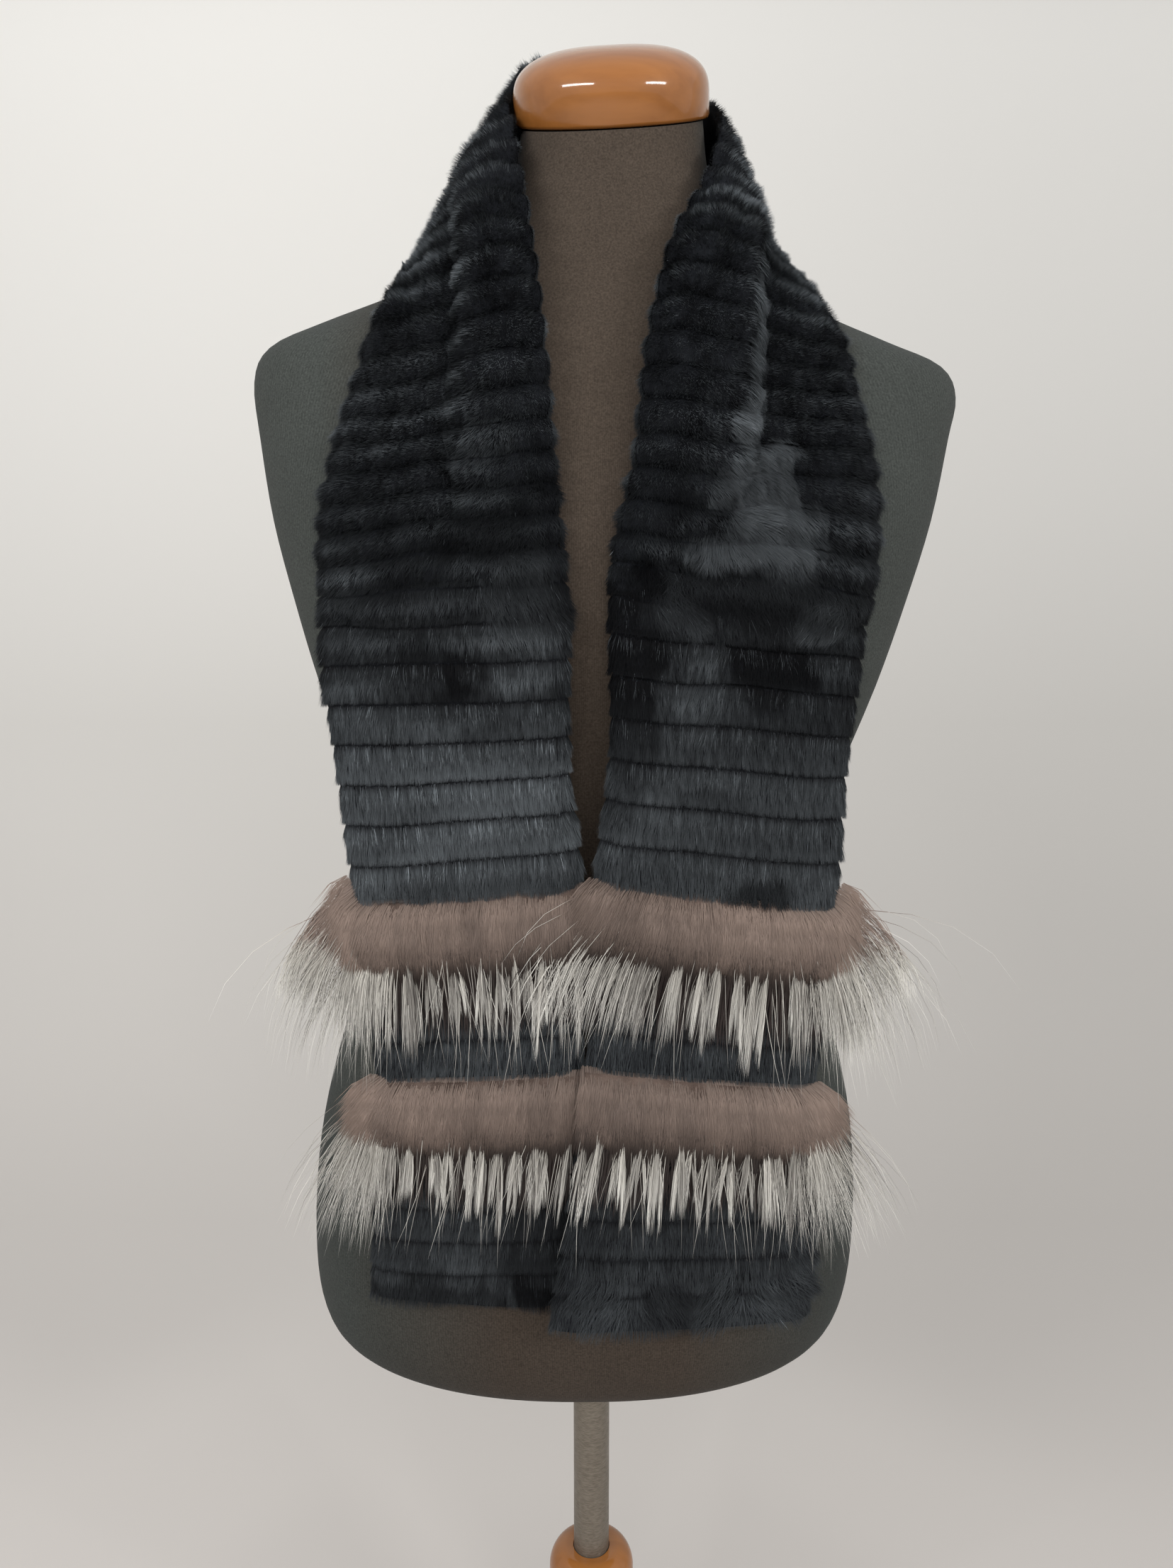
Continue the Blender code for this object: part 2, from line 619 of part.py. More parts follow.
def lock_rings(root, direction, facing, length):
    """Rings of one three-sided lock that tapers to a fine tip and droops a little."""
    sideways = np.cross(direction, facing)
    rings = []
    for along, size in ((0.0, 0.9), (0.35, 1.0), (0.70, 0.66), (1.0, 0.10)):
        middle = root + direction * length * along - facing * 0.004 * along**2
        ring = []
        for corner in (90, 210, 330):
            angle = math.radians(corner)
            across = sideways * math.cos(angle) * LOCK_WIDTH / 2
            through = facing * math.sin(angle) * LOCK_THICKNESS / 2
            ring.append(middle + (across + through) * size)
        rings.append(ring)
    return rings


def fox_locks(name, side, top, band):
    """The long guard hair, gathered into separate locks under the underfur's edge."""
    root_down = FOX_DROP - 0.008
    shares = np.linspace(band.first, band.outer_reach - 0.04, band.locks)
    downs = (root_down - 0.020, root_down - 0.010, root_down)
    points, facings = fox_frame(side, top, downs, shares)
    shape = bmesh.new()
    for lock, share in enumerate(shares):
        facing = facings[2, lock]
        straight = points[2, lock] - points[0, lock]
        straight /= np.linalg.norm(straight)
        outward = points[2, -1] - points[2, 0]
        outward /= np.linalg.norm(outward)
        fan = np.interp(share, (0.0, 0.25, 0.72, 1.07), (-band.inner_fan, 0, 0, band.outer_fan))
        angle = math.radians(fan + 1.6 * math.sin(2.4 * lock))
        direction = straight * math.cos(angle) + outward * math.sin(angle)
        root = points[2, lock] + facing * (HAIR_CLEAR + 0.0026 + 0.0008 * (lock % 2))
        uneven = 0.90 + 0.08 * math.sin(1.7 * lock) + 0.04 * math.sin(4.1 * lock)
        length = (FOX_HAIR - root_down) * uneven + 0.010 * (fan > 20)
        part = loft(name + "_lock", lock_rings(root, direction, facing, length))
        shape.from_mesh(part)
        bpy.data.meshes.remove(part)
    mesh = bpy.data.meshes.new(name + "_locks")
    shape.to_mesh(mesh)
    shape.free()
    return mesh


def add_fox(name, side, top, band, look, collection, tools):
    """One band: the underfur with its locks grown from it."""
    body = add_object(name, fox_underfur(name, side, top, band), look, collection)
    locks = bpy.data.objects.new(name + "_locks", fox_locks(name, side, top, band))
    tools.objects.link(locks)
    locks.hide_render = True
    locks.display_type = "WIRE"
    grow = body.modifiers.new("Locks", "BOOLEAN")
    grow.operation = "UNION"
    grow.solver = "EXACT"
    grow.use_self = True
    grow.object = locks
    return body


# ------------------------------------------------------------------- the whole part
def clear_scene():
    """Removes what the scene holds."""
    for obj in list(bpy.data.objects):
        bpy.data.objects.remove(obj, do_unlink=True)


def new_collection(name):
    """A collection linked to the scene."""
    made = bpy.data.collections.new(name)
    bpy.context.scene.collection.children.link(made)
    return made


def main():
    """Builds the form, then the scarf on it."""
    clear_scene()
    whole = new_collection("fur_scarf_on_dress_form")
    tools = new_collection("cutters")
    jersey = material("jersey", (0.040, 0.037, 0.034), 0.95)
    wood = material("varnished_wood", (0.42, 0.19, 0.07), 0.28)
    metal = material("grey_metal", (0.22, 0.21, 0.19), 0.45, 0.6)
    sheared = material("black_sheared_fur", (0.012, 0.014, 0.017), 0.85)
    fox = material("silver_fox_fur", (0.34, 0.27, 0.23), 0.90)

    rest_on(add_torso(jersey, whole))
    cap = add_neck_cap(wood, whole)
    bpy.context.view_layer.update()
    rest_on(cap)
    add_stand(wood, metal, whole)

    left, right = seams(-1), seams(1)
    neck = sorted({*left["neck"], *right["neck"]})
    add_wall("neck_wrap", neck, FUR_RISE, sheared, whole)
    for side, name, pieces in ((-1, "left", left), (1, "right", right)):
        add_wall(f"fall_{name}", pieces["fall"], FUR_RISE, sheared, whole)
        add_wall(f"middle_{name}", pieces["middle"], PRESSED_RISE, sheared, whole)
        add_wall(f"end_{name}", pieces["end"], PRESSED_RISE, sheared, whole)
        for place in ("upper", "lower"):
            band = FOX_BANDS[name, place]
            add_fox(f"fox_{place}_{name}", side, pieces[place], band, fox, whole, tools)


main()
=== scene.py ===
"""The looks of a fur scarf on its dress form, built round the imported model.

Metres, +Z up, the front towards -Y. "left" and "right" are as the viewer sees them. A
place on the scarf is a signed distance from the back of the neck, less than nothing on the
left, and a share of the width from the inner edge to the outer one.
"""

import json
import logging
import math
from dataclasses import dataclass, field
from enum import Enum
from typing import NamedTuple

import bpy
import numpy as np
from mathutils import Euler, Matrix, Vector
from mathutils.bvhtree import BVHTree

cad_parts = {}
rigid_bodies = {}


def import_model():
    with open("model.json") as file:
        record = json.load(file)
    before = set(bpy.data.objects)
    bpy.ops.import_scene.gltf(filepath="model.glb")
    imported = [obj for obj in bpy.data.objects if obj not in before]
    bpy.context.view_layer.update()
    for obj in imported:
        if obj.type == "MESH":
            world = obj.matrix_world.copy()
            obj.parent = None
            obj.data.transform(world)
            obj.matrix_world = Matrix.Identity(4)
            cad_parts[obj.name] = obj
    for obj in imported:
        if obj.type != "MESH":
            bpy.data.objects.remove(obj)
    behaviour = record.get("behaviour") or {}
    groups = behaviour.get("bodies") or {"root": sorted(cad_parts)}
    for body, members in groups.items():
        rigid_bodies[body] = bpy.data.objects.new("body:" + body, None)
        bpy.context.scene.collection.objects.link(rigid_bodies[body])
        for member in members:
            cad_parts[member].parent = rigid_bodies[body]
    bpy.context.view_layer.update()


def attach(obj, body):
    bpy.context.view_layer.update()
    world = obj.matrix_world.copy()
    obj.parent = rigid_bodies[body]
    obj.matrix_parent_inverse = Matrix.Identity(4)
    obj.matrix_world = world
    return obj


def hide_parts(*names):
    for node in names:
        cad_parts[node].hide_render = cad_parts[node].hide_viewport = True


LOG = logging.getLogger("fur_scarf")
HAIR_MAP = "OFBake"  # the map of every hair piece: its tone across, root to tip up
TONE_COLUMNS = 48  # hairs of like tone share one column of that map

Array = np.ndarray
Colour = tuple[float, float, float]
Point = tuple[float, float, float]
Profile = list[tuple[float, float]]
Socket = bpy.types.NodeSocket


class Side(Enum):
    """Which of the scarf's two ends a piece belongs to."""

    LEFT = -1
    RIGHT = 1


class Station(NamedTuple):
    """The scarf's back at one place: its edges and its lengthwise fold."""

    inner: Point
    outer: Point
    fold: float  # how far the fold stands off, in metres
    fold_end: float  # where across the width it ends
    bow: float = 0.003  # how far the middle stands off, in metres


STATIONS = (
    Station((-0.0225, -0.124, 0.491), (-0.1276, -0.108, 0.487), 0.000, 0.33),
    Station((-0.0077, -0.127, 0.634), (-0.1200, -0.113, 0.624), 0.000, 0.33),
    Station((-0.0075, -0.126, 0.739), (-0.1289, -0.112, 0.726), 0.000, 0.33),
    Station((-0.0136, -0.126, 0.797), (-0.1356, -0.106, 0.786), 0.000, 0.34),
    Station((-0.0141, -0.126, 0.857), (-0.1450, -0.092, 0.849), 0.001, 0.36),
    Station((-0.0158, -0.125, 0.897), (-0.1450, -0.084, 0.891), 0.003, 0.38),
    Station((-0.0211, -0.117, 0.943), (-0.1385, -0.081, 0.936), 0.006, 0.38),
    Station((-0.0248, -0.105, 0.994), (-0.1300, -0.078, 0.981), 0.010, 0.36),
    Station((-0.0291, -0.089, 1.034), (-0.1195, -0.072, 1.012), 0.013, 0.33, 0.004),
    Station((-0.0328, -0.075, 1.070), (-0.1080, -0.048, 1.046), 0.013, 0.32, 0.007),
    Station((-0.0364, -0.055, 1.105), (-0.1040, -0.011, 1.060), 0.009, 0.32, 0.011),
    Station((-0.0435, -0.018, 1.148), (-0.0990, 0.030, 1.066), 0.003, 0.32, 0.012),
    Station((-0.0440, 0.034, 1.190), (-0.0820, 0.060, 1.061), 0.000, 0.32, 0.008),
    Station((-0.0310, 0.067, 1.215), (-0.0490, 0.084, 1.059), 0.000, 0.32),
    Station((0.0090, 0.084, 1.214), (0.0090, 0.090, 1.058), 0.000, 0.32, 0.000),
    Station((0.0530, 0.067, 1.198), (0.0640, 0.084, 1.059), 0.000, 0.36, 0.000),
    Station((0.0715, 0.030, 1.174), (0.0930, 0.058, 1.064), 0.000, 0.40, 0.001),
    Station((0.0700, -0.014, 1.145), (0.1060, 0.030, 1.068), 0.003, 0.43, 0.001),
    Station((0.0580, -0.046, 1.108), (0.1125, -0.010, 1.062), 0.010, 0.44, 0.004),
    Station((0.0441, -0.067, 1.076), (0.1230, -0.048, 1.045), 0.014, 0.45, 0.004),
    Station((0.0360, -0.082, 1.044), (0.1315, -0.068, 1.023), 0.016, 0.44),
    Station((0.0289, -0.098, 1.010), (0.1366, -0.076, 0.996), 0.014, 0.43),
    Station((0.0223, -0.116, 0.956), (0.1440, -0.080, 0.946), 0.009, 0.41),
    Station((0.0116, -0.125, 0.908), (0.1453, -0.084, 0.892), 0.003, 0.38),
    Station((0.0103, -0.126, 0.869), (0.1431, -0.092, 0.854), 0.001, 0.36),
    Station((0.0102, -0.126, 0.806), (0.1349, -0.106, 0.791), 0.000, 0.34),
    Station((0.0028, -0.126, 0.741), (0.1316, -0.112, 0.722), 0.000, 0.33),
    Station((-0.0015, -0.130, 0.638), (0.1233, -0.113, 0.621), 0.000, 0.33),
    Station((-0.0220, -0.145, 0.488), (0.1248, -0.108, 0.472), 0.000, 0.33),
)
BACK_STATION = 14  # the back of the neck
FOX_STATION = {Side.LEFT: 2, Side.RIGHT: 26}  # the first fox bands' seams
HEM_STATION = {Side.LEFT: 0, Side.RIGHT: 28}
REST_GAP = 0.0009  # between the scarf and the form
SEAM_GAP = 0.0003  # between one piece and the next

NECK_STRIPS = 9  # each way from the back of the neck
FALL_STRIPS = 29  # from the back of the neck to the first fox band, if all were alike
# The falls' edges, as shares of the way from the back of the neck to the first fox band.
FALL_EDGES = {
    Side.LEFT: (
        0.342, 0.379, 0.409, 0.441, 0.475, 0.507, 0.538,
        0.566, 0.594, 0.622, 0.649, 0.677, 0.707, 0.740,
        0.778, 0.816, 0.853, 0.890, 0.927, 0.965, 1.0,
    ),
    Side.RIGHT: (
        0.325, 0.360, 0.393, 0.426, 0.457, 0.486, 0.5145,
        0.543, 0.573, 0.602, 0.632, 0.664, 0.693, 0.724,
        0.759, 0.798, 0.837, 0.876, 0.916, 0.958, 1.0,
    ),
}
MIDDLE_STRIPS = 3
END_STRIPS = 5
MIDDLE_STRIP = 0.0218  # the width of a strip between the fox bands
FOX_PELT = 0.038  # the width of a fox band's skin, along the scarf
LOCK_STRANDS = 4  # the strands that a lock of guard hair opens into


# -------------------- small mathematics
def smooth(value: Array) -> Array:
    """A soft step from 0 to 1."""
    held = np.clip(value, 0.0, 1.0)
    return held * held * (3.0 - 2.0 * held)


def unit(vectors: Array) -> Array:
    """Vectors of length one in the same directions."""
    lengths = np.linalg.norm(vectors, axis=-1, keepdims=True)
    return vectors / np.maximum(lengths, 1e-9)


def lerp(start: Array, end: Array, share: Array) -> Array:
    """A value between two others."""
    return start + (end - start) * share


def spline(values: list, place: Array) -> Array:
    """A smooth curve through equally spaced values.

    Args:
        values: numbers or points, one for each whole place.
        place: the fractional places to read.

    Returns:
        The curve's values there.
    """
    known = np.asarray(values, float)
    low = np.clip(np.floor(place).astype(int), 0, len(known) - 2)
    part = (place - low).reshape(-1, *[1] * (known.ndim - 1))
    ends = [2 * known[:1] - known[1:2], known, 2 * known[-1:] - known[-2:-1]]
    padded = np.concatenate(ends)
    a, b, c, d = (padded[low + step] for step in range(4))
    cubic = (3 * b - a - 3 * c + d) * part**3
    return 0.5 * (2 * b + (c - a) * part + (2 * a - 5 * b + 4 * c - d) * part**2 + cubic)


@dataclass
class Waves:
    """A smooth uneven field over the scarf, from a few seeded waves."""

    seed: int
    count: int = 7
    reach_along: float = 0.03
    reach_across: float = 0.25
    turns: Array = field(init=False)
    starts: Array = field(init=False)

    def __post_init__(self) -> None:
        """Draws the waves' directions and starts."""
        rng = np.random.default_rng(self.seed)
        self.turns = rng.normal(size=(self.count, 2))
        self.starts = rng.uniform(0, 2 * math.pi, self.count)

    def at(self, distance: Array, share: Array) -> Array:
        """Reads the field.

        Args:
            distance: signed distances from the back of the neck.
            share: places across the width.

        Returns:
            Its values there, mostly from -1 to 1.
        """
        total = np.zeros(np.broadcast(distance, share).shape)
        for (along, across), start in zip(self.turns, self.starts, strict=True):
            phase = along * distance / self.reach_along + across * share / self.reach_across
            total += np.sin(2.0 * phase + start)
        return total / math.sqrt(self.count)


# -------------------- the scarf's back
@dataclass
class Spots:
    """Places on the scarf's back, with the directions there."""

    points: Array
    facing: Array
    along: Array
    across: Array


@dataclass
class ScarfPath:
    """The scarf's back as a smooth surface that rests on the form."""

    supports: list[BVHTree]
    rows: int = 620
    columns: int = 60
    share_low: float = -0.12
    share_high: float = 1.24
    samples: int = 1200
    soften_rounds: int = 3
    places: Array = field(init=False)
    lengths: Array = field(init=False)
    distances: Array = field(init=False)
    grid: Spots = field(init=False)

    def __post_init__(self) -> None:
        """Measures the run and works the surface out once, for quick reading."""
        self.places = np.linspace(0, len(STATIONS) - 1, self.samples)
        inner = spline([station.inner for station in STATIONS], self.places)
        outer = spline([station.outer for station in STATIONS], self.places)
        steps = np.linalg.norm(np.diff((inner + outer) / 2, axis=0), axis=1)
        lengths = np.concatenate([[0.0], np.cumsum(steps)])
        self.lengths = lengths - np.interp(BACK_STATION, self.places, lengths)
        self.distances = np.linspace(self.lengths[0], self.lengths[-1], self.rows)
        points = self._softened(self._kept_clear(self._back()))
        along = unit(np.gradient(points, axis=0))
        across = unit(np.gradient(points, axis=1))
        self.grid = Spots(points, unit(np.cross(along, across)), along, across)

    def length_at(self, station: int) -> float:
        """The signed distance from the back of the neck to a station."""
        return float(np.interp(station, self.places, self.lengths))

    def width_at(self, distance: float) -> float:
        """The scarf's width in metres at a distance."""
        ends = self.at(np.array([distance, distance]), np.array([0.0, 1.0])).points
        return float(np.linalg.norm(ends[1] - ends[0]))

    def _back(self) -> Array:
        """Lays the surface out between the two edges.

        Returns:
            The grid of points, with the lift of the fold and of the bow across.
        """
        places = np.interp(self.distances, self.lengths, self.places)
        inner = spline([station.inner for station in STATIONS], places)[:, None]
        outer = spline([station.outer for station in STATIONS], places)[:, None]
        fold = spline([station.fold for station in STATIONS], places)[:, None]
        end = spline([station.fold_end for station in STATIONS], places)[:, None]
        shares = np.linspace(self.share_low, self.share_high, self.columns)[None, :]
        flat = inner + (outer - inner) * shares[..., None]
        down, over = np.gradient(flat, axis=0), np.gradient(flat, axis=1)
        facing = unit(np.cross(down, over))
        inside = np.clip(shares, 0.0, 1.0)
        swell = 0.4 + 0.6 * smooth(inside / (0.4 * end))
        drop = smooth((end + 0.07 - inside) / (0.14 * end + 0.07))
        bow = spline([station.bow for station in STATIONS], places)[:, None]
        lift = fold * swell * drop + bow * 4 * inside * (1 - inside)
        return flat + facing * lift[..., None]

    def _kept_clear(self, grid: Array) -> Array:
        """Moves points that lie in the form out to just off its surface.

        Args:
            grid: points indexed [row][column].

        Returns:
            The grid, with no point nearer to the form than the resting gap.
        """
        moved = grid.reshape(-1, 3).copy()
        for tree in self.supports * 2:
            for index, point in enumerate(moved):
                spot, facing, _, distance = tree.find_nearest(Vector(point))
                away = (Vector(point) - spot).dot(facing)
                gap = -distance if away < -0.5 * distance else distance
                if gap < REST_GAP:
                    moved[index] = spot + facing * REST_GAP
        return moved.reshape(grid.shape)

    def _softened(self, grid: Array) -> Array:
        """Rounds off the creases that resting on the form leaves.

        Args:
            grid: points indexed [row][column].

        Returns:
            The softened grid.
        """
        soft = grid.copy()
        for _ in range(self.soften_rounds):
            soft[1:-1] = (soft[:-2] + 2 * soft[1:-1] + soft[2:]) / 4
            soft[:, 1:-1] = (soft[:, :-2] + 2 * soft[:, 1:-1] + soft[:, 2:]) / 4
        return soft

    def at(self, distance: Array, share: Array) -> Spots:
        """Reads the surface.

        Args:
            distance: signed distances from the back of the neck, in metres.
            share: places across the width, 0 at the inner edge and 1 at the outer.

        Returns:
            The points and directions there, on from the last row past a hem.
        """
        distance, share = np.broadcast_arrays(distance, share)
        low, high = self.distances[0], self.distances[-1]
        held = np.clip(distance, low, high)
        row = (held - low) / (high - low) * (self.rows - 1)
        reach = self.share_high - self.share_low
        column = (share - self.share_low) / reach * (self.columns - 1)
        column = np.clip(column, 0, self.columns - 1)
        i = np.minimum(row.astype(int), self.rows - 2)
        j = np.minimum(column.astype(int), self.columns - 2)
        down, over = (row - i)[..., None], (column - j)[..., None]

        def read(values: Array) -> Array:
            """Reads one of the grid's fields at these places.

            Args:
                values: the field, indexed [row][column].

            Returns:
                Its values, blended from the four nearest.
            """
            near = values[i, j] * (1 - over) + values[i, j + 1] * over
            far = values[i + 1, j] * (1 - over) + values[i + 1, j + 1] * over
            return near * (1 - down) + far * down

        along = unit(read(self.grid.along))
        points = read(self.grid.points) + along * (distance - held)[..., None]
        past = share - np.clip(share, self.share_low, self.share_high)
        rim = self.grid.points[:, [0, -1]] - self.grid.points[:, [1, -2]]
        rim = rim[i, (past > 0).astype(int)] * ((self.columns - 1) / reach)
        points += rim * np.abs(past)[..., None]
        facing, across = unit(read(self.grid.facing)), unit(read(self.grid.across))
        return Spots(points, facing, along, across)


@dataclass
class Layout:
    """Where the strips' seams and the fox bands lie along one side of the scarf."""

    path: ScarfPath
    side: Side

    def edges(self, start: float, end: float, strips: int) -> list[float]:
        """The edges of several strips of equal width."""
        return [float(edge) for edge in np.linspace(start, end, strips + 1)]

    def fall(self) -> list[float]:
        """The strips from the back of the neck to the first fox band.

        Returns:
            Their edges, the neck's strips of equal width and then the fall's own.
        """
        given = FALL_EDGES[self.side]
        neck = [given[0] * edge / NECK_STRIPS for edge in range(NECK_STRIPS)]
        return [self.upper_fox() * share for share in (*neck, *given)]

    def upper_fox(self) -> float:
        """Where the first fox band's seam is."""
        return self.path.length_at(FOX_STATION[self.side])

    def middle(self) -> list[float]:
        """The strips between the fox bands.

        Returns:
            Their edges.
        """
        start = self.upper_fox() + self.side.value * FOX_PELT
        end = start + self.side.value * MIDDLE_STRIPS * MIDDLE_STRIP
        return self.edges(start, end, MIDDLE_STRIPS)

    def lower_fox(self) -> float:
        """Where the second fox band's seam is."""
        return self.middle()[-1]

    def end(self) -> list[float]:
        """The edges of the strips from the second fox band to the hem."""
        start = self.lower_fox() + self.side.value * FOX_PELT
        return self.edges(start, self.path.length_at(HEM_STATION[self.side]), END_STRIPS)


# -------------------- meshes
def add_piece(name: str, mesh: bpy.types.Mesh, look: bpy.types.Material) -> bpy.types.Object:
    """Makes an object that is shown, shaded smooth.

    Args:
        name: the object's name.
        mesh: its mesh.
        look: its material.

    Returns:
        The object, in the scene.
    """
    piece = bpy.data.objects.new(name, mesh)
    bpy.context.scene.collection.objects.link(piece)
    mesh.materials.append(look)
    mesh.shade_smooth()
    return piece


def tube_mesh(name: str, rings: Array) -> bpy.types.Mesh:
    """A closed skin through rings of points.

    Args:
        name: the mesh's name.
        rings: points indexed [ring][point], turning the same way in each.

    Returns:
        The mesh, with both ends closed by a fan.
    """
    rows, count = rings.shape[:2]
    points = [*rings.reshape(-1, 3), rings[0].mean(axis=0), rings[-1].mean(axis=0)]
    faces = []
    for row in range(rows - 1):
        for step in range(count):
            here, beside = row * count + step, row * count + (step + 1) % count
            faces.append((here, beside, beside + count, here + count))
    last = (rows - 1) * count
    for step in range(count):
        beside = (step + 1) % count
        faces.append((beside, step, rows * count))
        faces.append((last + step, last + beside, rows * count + 1))
    mesh = bpy.data.meshes.new(name)
    mesh.from_pydata([tuple(map(float, point)) for point in points], [], faces)
    mesh.update()
    return mesh


@dataclass
class Strands:
    """Many hairs as flat ribbons."""

    points: Array  # [hair][ring][xyz]
    facing: Array  # [hair][xyz], where each ribbon's flat face looks
    half_width: Array  # [hair][ring but the last]
    tone: Array  # [hair], from 0, dark, to 1, light

    def joined(self, other: "Strands") -> "Strands":
        """These hairs and some more of the same number of rings."""
        pairs = ((getattr(self, name), getattr(other, name)) for name in self.__dict__)
        return Strands(*(np.concatenate(pair) for pair in pairs))

    def mesh(self, name: str) -> bpy.types.Mesh:
        """One mesh of all the ribbons, each closing to a point at its tip.

        Args:
            name: the mesh's name.

        Returns:
            The mesh, whose map holds each hair's tone and its length.
        """
        count, rings = self.points.shape[:2]
        heading = unit(np.gradient(self.points, axis=1))
        sideways = unit(np.cross(heading, self.facing[:, None]))[:, :-1]
        reach = sideways * self.half_width[..., None]
        pairs = np.stack([self.points[:, :-1] - reach, self.points[:, :-1] + reach], axis=2)
        pairs = pairs.reshape(count, 2 * (rings - 1), 3)
        corners = np.concatenate([pairs, self.points[:, -1:]], axis=1)
        quads = 2 * np.arange(rings - 2)[:, None] + np.array([0, 1, 3, 2])
        one = np.append(quads.ravel(), 2 * (rings - 2) + np.arange(3))
        per_hair = 2 * (rings - 1) + 1
        offsets = np.arange(count)[:, None]
        loops = (offsets * per_hair + one).ravel()
        firsts = (offsets * len(one) + 4 * np.arange(rings - 1)).ravel()
        mesh = bpy.data.meshes.new(name)
        mesh.vertices.add(count * per_hair)
        mesh.vertices.foreach_set("co", corners.astype(np.float32).ravel())
        mesh.loops.add(len(loops))
        mesh.loops.foreach_set("vertex_index", loops.astype(np.int32))
        mesh.polygons.add(len(firsts))
        mesh.polygons.foreach_set("loop_start", firsts.astype(np.int32))
        mesh.update(calc_edges=True)
        self._map(mesh, loops, per_hair, rings)
        return mesh

    def _map(self, mesh: bpy.types.Mesh, loops: Array, per_hair: int, rings: int) -> None:
        """Gives each corner its hair's tone column and its share of the length.

        Args:
            mesh: the ribbons' mesh.
            loops: the vertex of each corner.
            per_hair: how many vertices a hair has.
            rings: how many rings of points a hair has.
        """
        hair, corner = loops // per_hair, loops % per_hair
        column = np.clip(np.sqrt(self.tone) * TONE_COLUMNS, 0, TONE_COLUMNS - 1).astype(int)
        edge = np.where(corner == per_hair - 1, 0.5, np.where(corner % 2 == 0, 0.2, 0.8))
        across = (column[hair] + edge) / TONE_COLUMNS
        up = 0.01 + 0.98 * np.minimum(corner // 2, rings - 1) / (rings - 1)
        layer = mesh.uv_layers.new(name=HAIR_MAP)
        places = np.stack([across, up], axis=1).astype(np.float32)
        layer.data.foreach_set("uv", places.ravel())


# -------------------- shader groups
def new_group(
    name: str, inputs: dict[str, float | None], outputs: list[str]
) -> tuple[bpy.types.ShaderNodeTree, bpy.types.Node, bpy.types.Node]:
    """An empty node group.

    Args:
        name: the group's name.
        inputs: socket names with their default, or None for a vector.
        outputs: names of the value outputs.

    Returns:
        The group, its input node and its output node.
    """
    group = bpy.data.node_groups.new(name, "ShaderNodeTree")
    for socket, value in inputs.items():
        kind = "NodeSocketVector" if value is None else "NodeSocketFloat"
        made = group.interface.new_socket(name=socket, in_out="INPUT", socket_type=kind)
        if value is not None:
            made.default_value = value
    for socket in outputs:
        group.interface.new_socket(name=socket, in_out="OUTPUT", socket_type="NodeSocketFloat")
    return group, group.nodes.new("NodeGroupInput"), group.nodes.new("NodeGroupOutput")


def mottle_group() -> bpy.types.ShaderNodeTree:
    """Soft cloudy unevenness, from Low to High, used by most of the finishes.

    Returns:
        The group, made once.
    """
    found = bpy.data.node_groups.get("Mottle")
    if found:
        return found
    inputs = {"Vector": None, "Scale": 20.0, "Detail": 4.0, "Low": 0.0, "High": 1.0}
    group, entry, leave = new_group("Mottle", inputs, ["Mask"])
    noise = group.nodes.new("ShaderNodeTexNoise")
    spread = group.nodes.new("ShaderNodeMapRange")
    spread.inputs["From Min"].default_value = 0.32
    spread.inputs["From Max"].default_value = 0.68
    links = group.links
    for name in ("Vector", "Scale", "Detail"):
        links.new(entry.outputs[name], noise.inputs[name])
    links.new(noise.outputs["Fac"], spread.inputs["Value"])
    links.new(entry.outputs["Low"], spread.inputs["To Min"])
    links.new(entry.outputs["High"], spread.inputs["To Max"])
    links.new(spread.outputs["Result"], leave.inputs["Mask"])
    return group


def grain_group() -> bpy.types.ShaderNodeTree:
    """Long fibres: noise drawn out along one axis by the three stretch inputs.

    Returns:
        The group, made once.
    """
    found = bpy.data.node_groups.get("Grain")
    if found:
        return found
    inputs = {"Vector": None, "Along X": 1.0, "Along Y": 1.0, "Along Z": 1.0, "Detail": 3.0}
    group, entry, leave = new_group("Grain", inputs, ["Height"])
    stretch = group.nodes.new("ShaderNodeCombineXYZ")
    scale = group.nodes.new("ShaderNodeVectorMath")
    scale.operation = "MULTIPLY"
    noise = group.nodes.new("ShaderNodeTexNoise")
    noise.inputs["Scale"].default_value = 1.0
    links = group.links
    for axis in "XYZ":
        links.new(entry.outputs[f"Along {axis}"], stretch.inputs[axis])
    links.new(entry.outputs["Vector"], scale.inputs[0])
    links.new(stretch.outputs["Vector"], scale.inputs[1])
    links.new(scale.outputs["Vector"], noise.inputs["Vector"])
    links.new(entry.outputs["Detail"], noise.inputs["Detail"])
    links.new(noise.outputs["Fac"], leave.inputs["Height"])
    return group


def placed(
    material: bpy.types.Material, group: bpy.types.ShaderNodeTree, **values: float
) -> bpy.types.Node:
    """Places a group in a material, on object coordinates.

    Args:
        material: the material it goes in.
        group: the node group.
        values: its inputs' values, with _ for a space in a name.

    Returns:
        The group's node.
    """
    nodes, links = material.node_tree.nodes, material.node_tree.links
    node = nodes.new("ShaderNodeGroup")
    node.node_tree = group
    coordinates = nodes.get("Texture Coordinate") or nodes.new("ShaderNodeTexCoord")
    links.new(coordinates.outputs["Object"], node.inputs["Vector"])
    for name, value in values.items():
        node.inputs[name.replace("_", " ")].default_value = value
    return node


def new_material(name: str, roughness: float) -> tuple[bpy.types.Material, bpy.types.Node]:
    """A material with its Principled shader.

    Args:
        name: the material's name.
        roughness: the shader's roughness.

    Returns:
        The material and its shader node.
    """
    made = bpy.data.materials.new(name)
    made.use_nodes = True
    shader = made.node_tree.nodes["Principled BSDF"]
    shader.inputs["Roughness"].default_value = roughness
    return made, shader


